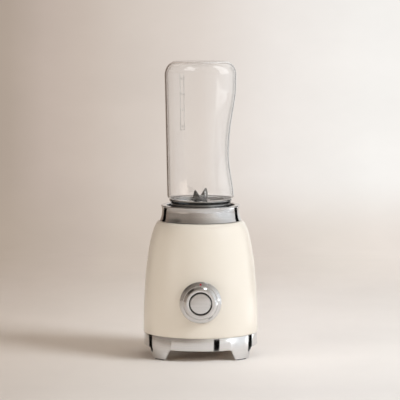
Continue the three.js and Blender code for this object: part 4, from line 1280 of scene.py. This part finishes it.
@dataclass
class Bottle:
    """The clear bottle, standing on its mouth, with a finger grip pressed into one side."""

    wall: float = 1.6
    neck_radius: float = 33.6
    neck_length: float = 10.9
    shoulder_radius: float = 40.7
    shoulder_curve: float = 4.6
    crown_radius: float = 43.7
    crown_wide: float = 14.3
    crown_tall: float = 17.0
    base: float = 1.3
    inner_ease: float = 1.2     # how much rounder the shoulder is inside
    grip_height: float = 72.6
    grip_rise: float = 70.5
    grip_fall: float = 58.5
    grip_inset: float = 7.0
    grip_fullness: float = 1.6
    grip_spread: float = 80.0
    scale_bearing: float = -147.0
    scale_width: float = 5.6
    scale_foot: float = 272.8
    scale_line: float = 0.6
    tick: float = 0.4
    digit_height: float = 2.6
    digit_start: float = 0.6    # the numbers stand upside down, so they run from here to the left
    scale_rise: float = 0.12
    scale_sink: float = 0.05
    scale_marks: tuple[tuple[str, float], ...] = (
        ("0.1", 335.7), ("0.2", 316.9), ("0.3", 297.4), ("0.4", 276.9),
    )

    def grip(self, height: float, bearing: float) -> float:
        """How far the grip is pressed in at a place on the wall.

        Args:
            height: height above the mouth.
            bearing: radians from the middle of the grip.

        Returns:
            The depth in millimetres.
        """
        reach = self.grip_rise if height > self.grip_height else self.grip_fall
        along = min(abs(height - self.grip_height) / reach, 1)
        around = min(abs(bearing) / math.radians(self.grip_spread), 1)
        return self.grip_inset * (1 - along**2) ** self.grip_fullness * math.cos(around * math.pi / 2) ** 2

    def side(self, inset: float, height: float, steps: int) -> Profile:
        """The outer or inner face from the shoulder to the closed end.

        Args:
            inset: the wall's thickness on the inner face, 0 on the outer.
            height: the bottle's height.
            steps: steps of the straight part.

        Returns:
            Points from the shoulder up.
        """
        low, high = self.neck_length + self.shoulder_curve, height - self.crown_tall
        line = [
            (self.shoulder_radius + (self.crown_radius - self.shoulder_radius) * i / steps - inset,
             low + (high - low) * i / steps)
            for i in range(steps)
        ]
        tall = self.crown_tall - (self.base if inset else 0)
        crown = arc((self.crown_radius - self.crown_wide, high), (self.crown_wide - inset, tall), 0, 90, 16)
        return line + crown

    def body(self) -> Drawing:
        """The blown wall, turned and then pressed in at the grip.

        Returns:
            The closed body, its mouth down.
        """
        mouth, top = levels("bottle")
        height = top - mouth
        inner = self.neck_radius - self.wall
        outer_side = self.side(0, height, 48)
        inner_side = self.side(self.wall, height, 48)
        start = self.neck_length + self.shoulder_curve
        curve = self.shoulder_curve
        shoulder = arc((self.shoulder_radius - curve, start), (curve, curve), -90, 0, 6)
        curve += self.inner_ease - self.wall
        hollow = arc((self.shoulder_radius - self.wall - curve, start), (curve, curve), -90, 0, 6)
        bm = turned([
            (0, height), *reversed(outer_side[:-1]), *reversed(shoulder[:-1]),
            (self.neck_radius, self.neck_length, 0.8), (self.neck_radius, 0, 0.7), (inner, 0, 0.7),
            (inner, self.neck_length + self.wall * 0.4, 0.8),
            *hollow[:-1], *inner_side[:-1], (0, height - self.base),
        ], ROUND, closed=False)
        for v in bm.verts:
            reach = math.hypot(v.co.x, v.co.y)
            if reach > 0 and v.co.z > self.neck_length:
                fade = min(1.0, reach / (self.crown_radius - self.crown_wide))
                share = (reach - self.grip(v.co.z, math.atan2(v.co.y, v.co.x)) * fade) / reach
                v.co.x *= share
                v.co.y *= share
        return lifted(bm, z=mouth)

    def figure(self, text: str, tall: float) -> list[Stroke]:
        """The strokes of a number, from its lower left corner.

        Args:
            text: digits and points.
            tall: height of a digit.

        Returns:
            The strokes.
        """
        wide, pen = tall * 0.5, tall * 0.14
        bars = {
            "a": (0, wide, tall - pen, tall), "b": (wide - pen, wide, tall / 2, tall),
            "c": (wide - pen, wide, 0, tall / 2), "d": (0, wide, 0, pen), "e": (0, pen, 0, tall / 2),
            "f": (0, pen, tall / 2, tall), "g": (0, wide, (tall - pen) / 2, (tall + pen) / 2),
            ".": (0, pen * 1.3, 0, pen * 1.3),
        }
        shapes = {"0": "abcdef", "1": "bc", "2": "abged", "3": "abgcd", "4": "fgbc", ".": "."}
        strokes, at = [], 0.0
        for sign in text:
            for left, right, low, high in (bars[bar] for bar in shapes[sign]):
                strokes.append((at + left, at + right, low, high))
            at += pen * 2.6 if sign == "." else wide + pen * 1.6
        return strokes

    def scale(self) -> Drawing:
        """The printed scale in litres, read with the bottle standing on its closed end.

        Returns:
            Thin strokes that lie on the bottle's wall.
        """
        mouth, top = levels("bottle")
        low, high = mouth + self.neck_length + self.shoulder_curve, top - self.crown_tall
        half, line = self.scale_width / 2, self.scale_line / 2
        foot = self.scale_foot
        strokes = [(side - line, side + line, foot, high) for side in (-half, half)]
        strokes.append((-half, half, foot - line, foot + line))
        for number, height in self.scale_marks:
            strokes.append((half * 0.4, half, height - self.tick / 2, height + self.tick / 2))
            start, over = self.digit_start, height + self.digit_height / 2
            for left, right, bottom, upper in self.figure(number, self.digit_height):
                strokes.append((start - right, start - left, over - upper, over - bottom))
        bodies = []
        for left, right, bottom, upper in strokes:
            edge = [(left, bottom), (right, bottom), (right, upper), (left, upper)]
            bodies.append(slab(edge, -self.scale_sink, self.scale_rise))
        bm = together(*bodies)
        for v in bm.verts:
            share = (v.co.y - low) / (high - low)
            radius = self.shoulder_radius + (self.crown_radius - self.shoulder_radius) * share
            turn = math.radians(self.scale_bearing - 90) + v.co.x / radius
            reach = radius + v.co.z
            v.co = Vector((reach * math.cos(turn), reach * math.sin(turn), v.co.y))
        return bm

    def build(self) -> None:
        """Builds the bottle and its scale."""
        Piece("bottle_wall", "bottle", CLEAR, ("bottle",), "clear_plastic", 60).settle(self.body())
        Piece("litre_scale", "bottle", PRINT).settle(self.scale())


# ---------------------------------------------------------------- what stays as packed


@dataclass
class Works:
    """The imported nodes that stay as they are, and their finishes."""

    def finishes(self) -> dict[Finish, tuple[str, ...]]:
        """Which nodes each finish goes on.

        Returns:
            The nodes by finish.
        """
        corners = ("front_right", "rear_right", "rear_left", "front_left")
        return {
            RUBBER: (*[f"motor_damper_{i}" for i in range(1, 5)], "cord_gland", "shaft_seal"),
            STEEL: (*[f"base_screw_{c}" for c in corners], "motor_shaft", "upper_bearing", "lower_bearing",
                    "bushing_nut", "knob_spindle"),
            SEAT: ("bottle_seat",),
            PLATE: ("base_plate",),
            BLACK: ("micro_switch_1", "micro_switch_2", "drive_coupling",
                    "selector_switch", "driven_coupling"),
            GREY: ("interlock_ring", "interlock_plunger_1", "interlock_plunger_2", "cooling_fan"),
            BOARD: ("control_board",),
            LAMINATIONS: ("armature_core", "stator_stack"),
            COPPER: ("armature_winding", "field_coil_left", "field_coil_right"),
            BRASS: ("commutator", "brush_holder_left", "brush_holder_right", "shaft_bush"),
            ALUMINIUM: ("upper_shield", "lower_shield"),
            CARBON: ("carbon_brush_left", "carbon_brush_right"),
            RING: ("knob_saddle",),
        }

    def build(self) -> None:
        """Dresses the nodes."""
        for finish, nodes in self.finishes().items():
            for node in nodes:
                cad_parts[node].material_slots[0].material = finish.material()
            LOG.info("%s: %s", finish.name, ", ".join(nodes))


# ---------------------------------------------------------------- studio


def toned(tree: Tree, value: Socket, tones: Tones) -> Socket:
    """A colour that runs through some tones.

    Args:
        tree: the tree that it goes into.
        value: what picks the tone.
        tones: the value of each tone, as far below zero as above it, and the tone.

    Returns:
        The colour.
    """
    reach = tones[-1][0]
    share = add(tree, "ShaderNodeMapRange", {"From Min": -reach, "From Max": reach}, {"Value": value})
    ramp = add(tree, "ShaderNodeValToRGB", None, {"Fac": share.outputs["Result"]})
    stops = ramp.color_ramp.elements
    for at, code in tones[1:-1]:
        stops.new(0.5 + 0.5 * at / reach).color = tint(code)
    stops[0].color, stops[len(stops) - 1].color = tint(tones[0][1]), tint(tones[-1][1])
    return ramp.outputs["Color"]


@dataclass(frozen=True)
class Backdrop(Finish):
    """Plaster whose tones run from side to side as painted light, darker on the left and lighter on the
    right, the near part's turning into the far part's.

    Its back isn't there, so the object also shows from behind the wall and from under the floor.
    """

    near: Tones = ()
    far: Tones = ()
    axis: str = "Z"
    start: float = 0.0       # metres along the axis where the far part begins, and where it is full
    end: float = 1.0
    front: float = 1.0       # painted shade: share of the tone that is left at the front, where it darkens
    lit: bool = True         # whether lamps shade the near part; what they don't shade shows its own tone

    def surface(self, tree: Tree) -> Socket:
        """Builds the shader of the plaster.

        Args:
            tree: the material's tree.

        Returns:
            The shader's output.
        """
        place = add(tree, "ShaderNodeTexCoord").outputs["Object"]
        parts = add(tree, "ShaderNodeSeparateXYZ", None, {0: place}).outputs
        merge = {"interpolation_type": "SMOOTHSTEP", "From Min": self.start, "From Max": self.end}
        share = add(tree, "ShaderNodeMapRange", merge, {"Value": parts[self.axis]}).outputs["Result"]
        drift = {"From Min": 0.3, "From Max": 0.7, "To Min": 0.97, "To Max": 1.03}
        blots = cells(tree, (4.5, 3.0, 7.0), 5)
        cloud = add(tree, "ShaderNodeMapRange", drift, {"Value": blots}).outputs["Result"]
        # painted shade: the tones darken toward the front, down to the share that front keeps
        fall = {"From Min": -0.25, "From Max": 0.05, "To Min": self.front, "To Max": 1.0}
        front_shade = add(tree, "ShaderNodeMapRange", fall, {"Value": parts["Y"]}).outputs["Result"]
        cloud = add(tree, "ShaderNodeMath", {"operation": "MULTIPLY"}, {0: cloud, 1: front_shade}).outputs[0]
        path = add(tree, "ShaderNodeLightPath").outputs
        seen = path["Is Camera Ray"]
        for kind in ("Is Glossy Ray", "Is Transmission Ray"):
            either = {0: seen, 1: path[kind]}
            seen = add(tree, "ShaderNodeMath", {"operation": "MAXIMUM"}, either).outputs[0]
        shaders = []
        # painted light: each part's tones run darker on the left and lighter on the right
        for tones, lit in ((self.near, self.lit), (self.far, False)):
            inks = {0: toned(tree, parts["X"], tones), "Scale": cloud}
            tone = add(tree, "ShaderNodeVectorMath", {"operation": "SCALE"}, inks).outputs[0]
            plaster = add(tree, "ShaderNodeBsdfDiffuse", None, {"Color": tone}).outputs[0]
            if not lit:
                own = add(tree, "ShaderNodeEmission", None, {"Color": tone}).outputs[0]
                plaster = add(tree, "ShaderNodeMixShader", None, {0: seen, 1: plaster, 2: own}).outputs[0]
            shaders.append(plaster)
        links = {0: share, 1: shaders[0], 2: shaders[1]}
        sheet = add(tree, "ShaderNodeMixShader", None, links).outputs[0]
        clear = add(tree, "ShaderNodeBsdfTransparent").outputs[0]
        behind = add(tree, "ShaderNodeNewGeometry").outputs["Backfacing"]
        return add(tree, "ShaderNodeMixShader", None, {0: behind, 1: sheet, 2: clear}).outputs[0]


@dataclass(frozen=True)
class Card(Finish):
    """Black velvet card that metal reflects as a dark line."""

    def surface(self, tree: Tree) -> Socket:
        """Builds the shader of the card."""
        return add(tree, "ShaderNodeBsdfDiffuse", {"Color": tint(self.colour)}).outputs[0]


@dataclass(frozen=True)
class Pane(Finish):
    """A sheet with soft edges that shiny surfaces show: a white one glowing with its own light in place of a
    lit board, which lays highlights, or dark voile.
    """

    sides: Pair = (-0.3, 0.2)     # metres along Y where it fades out
    ends: Pair = (-0.2, 0.8)      # metres along Z where it does
    soft: Pair = (0.18, 0.06)     # how far the fading reaches along Y and along Z
    glow: float = 0.0
    weight: float = 1.0      # how much it hides of what is behind it

    def surface(self, tree: Tree) -> Socket:
        """Builds the shader of the sheet.

        Args:
            tree: the material's tree.

        Returns:
            The shader's output.
        """
        place = add(tree, "ShaderNodeTexCoord").outputs["Object"]
        parts = add(tree, "ShaderNodeSeparateXYZ", None, {0: place}).outputs
        fades = []
        for axis, (start, end), soft in (("Y", self.sides, self.soft[0]), ("Z", self.ends, self.soft[1])):
            for edge, inner in ((start, start + soft), (end, end - soft)):
                span = {"interpolation_type": "SMOOTHSTEP", "From Min": edge, "From Max": inner}
                fades.append(add(tree, "ShaderNodeMapRange", span, {"Value": parts[axis]}).outputs["Result"])
        whole = {"operation": "MULTIPLY", 1: self.weight}
        share = add(tree, "ShaderNodeMath", whole, {0: fades[0]}).outputs[0]
        for fade in fades[1:]:
            share = add(tree, "ShaderNodeMath", {"operation": "MULTIPLY"}, {0: fade, 1: share}).outputs[0]
        shine = {"Color": tint(self.colour), "Strength": self.glow}
        light = add(tree, "ShaderNodeEmission", shine).outputs[0]
        clear = add(tree, "ShaderNodeBsdfTransparent").outputs[0]
        return add(tree, "ShaderNodeMixShader", None, {0: share, 1: clear, 2: light}).outputs[0]


VELVET = Card("black_velvet_card", "050505", "050505", 1.0)
VOILE = Pane("dark_voile", "262320", "262320", 1.0, (-0.3, 0.3), (0.2, 0.9), (0.2, 0.22), weight=0.8)


def glowing_pane(name: str, sides: Pair, ends: Pair, soft: Pair, glow: float) -> Pane:
    """A white pane that gives off light."""
    return Pane(name, "ffffff", "ffffff", 1.0, sides, ends, soft, glow)


@dataclass
class Board:
    """A card that stands outside the view, seen only in reflections or only through clear walls."""

    name: str
    bearing: float           # degrees from the front, to the right
    distance: float          # metres from the motor's axis
    width: float
    low: float               # height of its lower edge, and then of its upper one
    high: float
    finish: Finish = VELVET
    through: bool = False    # whether clear walls bend it into view, instead of metal showing it

    def build(self) -> None:
        """Stands the card in its place."""
        bm = bmesh.new()
        bmesh.ops.create_grid(bm, x_segments=1, y_segments=1, size=0.5)
        bmesh.ops.scale(bm, vec=(self.width, self.high - self.low, 1), verts=bm.verts)
        bmesh.ops.rotate(bm, verts=bm.verts, matrix=Matrix.Rotation(math.pi / 2, 3, "X"))
        bmesh.ops.translate(bm, vec=(0, -self.distance, (self.low + self.high) / 2), verts=bm.verts)
        made = made_object(self.name, swung(bm, self.bearing), self.finish)
        made.visible_camera = False
        made.visible_diffuse = False
        made.visible_shadow = False
        made.visible_glossy = not self.through
        made.visible_transmission = self.through


@dataclass
class Lamp:
    """A soft box: where it stands, what it lights, its size in metres, power in watts and colour."""

    name: str
    place: Triple
    aim: Triple
    size: Pair
    power: float
    colour: str = "ffffff"

    def build(self) -> None:
        """Sets up the lamp."""
        light = bpy.data.lights.new(self.name, "AREA")
        light.shape = "RECTANGLE"
        light.size, light.size_y = self.size
        light.energy = self.power
        light.color = tint(self.colour)[:3]
        lamp = bpy.data.objects.new(self.name, light)
        lamp.location = self.place
        lamp.rotation_euler = (Vector(self.aim) - Vector(self.place)).to_track_quat("-Z", "Y").to_euler()
        lamp.visible_glossy = False
        lamp.visible_transmission = False
        bpy.context.scene.collection.objects.link(lamp)


@dataclass
class Studio:
    """Floor, wall, cards, lamps, world and camera."""

    table_edge: float = -1.2
    wall_back: float = 1.12
    wall_curve: float = 0.12
    room: Tones = (
        (-1.0, "968a7f"), (-0.5, "998d82"), (0.0, "b9ada2"),
        (0.45, "dcd4cb"), (0.75, "f2ede6"), (1.0, "ffffff"),
    )
    strength: float = 1.08      # the room's at eye level, and the share of it that the ceiling has
    ceiling: float = 0.5

    def sheet(self, name: str, line: Profile, finish: Finish, width: float) -> None:
        """Lays a sheet that is drawn in the YZ plane and drawn out along X.

        Args:
            name: its name.
            line: points of (Y, Z) in metres.
            finish: its material.
            width: its width in metres.
        """
        bm = bmesh.new()
        points = [bm.verts.new((-width / 2, y, z)) for y, z in line]
        edges = [bm.edges.new(pair) for pair in zip(points, points[1:])]
        grown = bmesh.ops.extrude_edge_only(bm, edges=edges)["geom"]
        bmesh.ops.translate(bm, vec=(width, 0, 0), verts=corners_of(grown))
        bm.normal_update()
        if sum(f.normal.z - f.normal.y for f in bm.faces) < 0:
            bmesh.ops.reverse_faces(bm, faces=bm.faces[:])
        made = made_object(name, bm, finish)
        made.data.shade_smooth()

    def boards(self) -> tuple[Board, ...]:
        """The cards and panes that stand round the object.

        Returns:
            The boards, still to be built.
        """
        # the white panes glow with their own light and show only in reflections, or through clear walls,
        # where they lay highlights
        low = glowing_pane("glowing_low_board", (-0.22, 0.2), (-0.1, 0.13), (0.16, 0.03), 1.0)
        side = glowing_pane("glowing_side_board", (0.0, 0.3), (-0.1, 0.05), (0.08, 0.02), 2.6)
        middle = glowing_pane("glowing_middle_board", (-0.5, 0.2), (0.1, 0.24), (0.3, 0.035), 0.95)
        awning = glowing_pane("glowing_awning", (-0.12, 0.01), (0.35, 0.6), (0.02, 0.015), 3.6)
        window = glowing_pane("bright_window", (-1.35, 0.35), (0.075, 0.215), (0.4, 0.03), 3.0)
        gauze = glowing_pane("glowing_gauze", (-0.32, -0.12), (0.5, 0.95), (0.04, 0.1), 4.2)
        return (
            Board("card_left", -125.5, 0.32, 0.108, 0.05, 0.5),
            Board("card_right", 125.5, 0.32, 0.108, 0.05, 0.5),
            Board("board_low", 90, 0.36, 0.6, 0.0, 0.13, low),
            Board("board_side", 90, 0.35, 0.6, 0.0, 0.05, side),
            Board("board_middle", 90, 0.37, 1.0, 0.1, 0.24, middle),
            Board("awning", 90, 0.13, 0.16, 0.35, 0.6, awning),
            Board("window", 90, 1.5, 3.0, 0.03, 0.22, window),
            Board("gauze", -48, 0.3, 0.3, 0.5, 0.95, gauze, through=True),
            Board("strip_left", -80.9, 0.09, 0.0168, 0.0005, 0.034),
            Board("strip_right", 79.4, 0.09, 0.0181, 0.0005, 0.034),
            Board("strip_front", 20.2, 0.09, 0.0119, 0.0005, 0.032),
            Board("card_high", -90, 0.4, 0.6, 0.2, 0.9, VOILE),
            Board("flag_left", -154.5, 0.9, 0.17, 0.0, 1.2, through=True),
            Board("flag_right", 154.5, 0.9, 0.17, 0.0, 1.2, through=True),
        )

    def camera(self) -> None:
        """Sets up the camera a little above the object, looking slightly down."""
        data = bpy.data.cameras.new("camera")
        data.lens, data.sensor_width = 210.66, 36.0
        camera = bpy.data.objects.new("camera", data)
        level = Matrix.Rotation(math.radians(90 - 5.4666), 4, "X")
        camera.matrix_world = Matrix.Translation((-0.0007, -2.8426, 0.4613)) @ level
        bpy.context.scene.collection.objects.link(camera)
        bpy.context.scene.camera = camera

    def world(self) -> None:
        """Sets up the room's light: dim on the left, bright toward the windows on the right."""
        world = bpy.data.worlds.new("studio")
        world.use_nodes = True
        tree = world.node_tree
        tree.nodes.clear()
        way = add(tree, "ShaderNodeTexCoord").outputs["Generated"]
        parts = add(tree, "ShaderNodeSeparateXYZ", None, {0: way}).outputs
        fall = {"From Min": 0.1, "To Min": self.strength, "To Max": self.strength * self.ceiling}
        strength = add(tree, "ShaderNodeMapRange", fall, {"Value": parts["Z"]}).outputs["Result"]
        links = {"Color": toned(tree, parts["X"], self.room), "Strength": strength}
        room = add(tree, "ShaderNodeBackground", None, links).outputs[0]
        add(tree, "ShaderNodeOutputWorld", None, {"Surface": room})
        bpy.context.scene.world = world

    def build(self) -> None:
        """Builds the studio."""
        bpy.context.scene.view_settings.view_transform = "Standard"
        self.camera()
        self.world()
        back, curve = self.wall_back, self.wall_curve
        # painted shade: tones of the far floor and the wall's foot, darker than the near floor where floor
        # and wall meet, and darker on the left
        shaded_seam = (
            (-0.6, "a09081"), (-0.335, "b3a496"), (-0.245, "bdafa3"), (-0.19, "c4b6ab"), (-0.15, "cabdb1"),
            (-0.113, "cdc0b4"), (0.113, "dacfc6"), (0.157, "dfd5cc"), (0.21, "e4dbd2"), (0.31, "e9e0d8"),
            (0.6, "ece3dc"),
        )
        # painted light: the floor's near tones run darker on the left and lighter toward the right, and
        # darken toward the front
        floor = Backdrop(
            "floor_painted_light", "d8cec6", "efe9e3", 1.0,
            ((-0.6, "d4c8bd"), (-0.26, "e2d7cc"), (-0.1, "f0e8df"),
             (0.12, "f9f3ed"), (0.26, "f6f1eb"), (0.6, "f2ede8")),
            shaded_seam, "Y", 0.45, 1.0, 0.87,
        )
        self.sheet("floor", [(self.table_edge, 0), (back, 0)], floor, 6)
        # painted light: the wall shows tones that run darker on the left and lighter toward the right
        wall = Backdrop(
            "wall_painted_light", "b0a195", "f8f6f2", 1.0, shaded_seam,
            ((-0.6, "988578"), (-0.335, "b1a295"), (-0.27, "c0b1a6"), (-0.2, "c8baaf"), (-0.14, "d0c4ba"),
             (0.0, "dfd5cd"), (0.13, "eee8e3"), (0.3, "f6f3ef"), (0.6, "f9f6f3")),
            "Z", 0.0, 0.12, 1.0, False,
        )
        turns = [math.pi / 16 * i for i in range(9)]
        bend = [(back + curve * math.sin(turn), curve * (1 - math.cos(turn))) for turn in turns]
        self.sheet("wall", [*bend, (back + curve, 3.0)], wall, 8)
        for board in self.boards():
            board.build()
        target = (0, 0, 0.12)
        for lamp in (
            Lamp("key", (1.55, -0.85, 1.2), target, (0.8, 0.8), 38, "ebf3fc"),
            Lamp("fill", (-1.5, -0.9, 0.35), target, (1.0, 0.6), 12.5, "fffdfa"),
        ):
            lamp.build()


def main() -> None:
    """Builds the blender and its studio in order."""
    for part in (Studio(), Stand(), Housing(), Knob(), BladeUnit(), Bottle(), Works()):
        LOG.info("building %s", type(part).__name__)
        part.build()


if __name__ == "__main__":
    main()
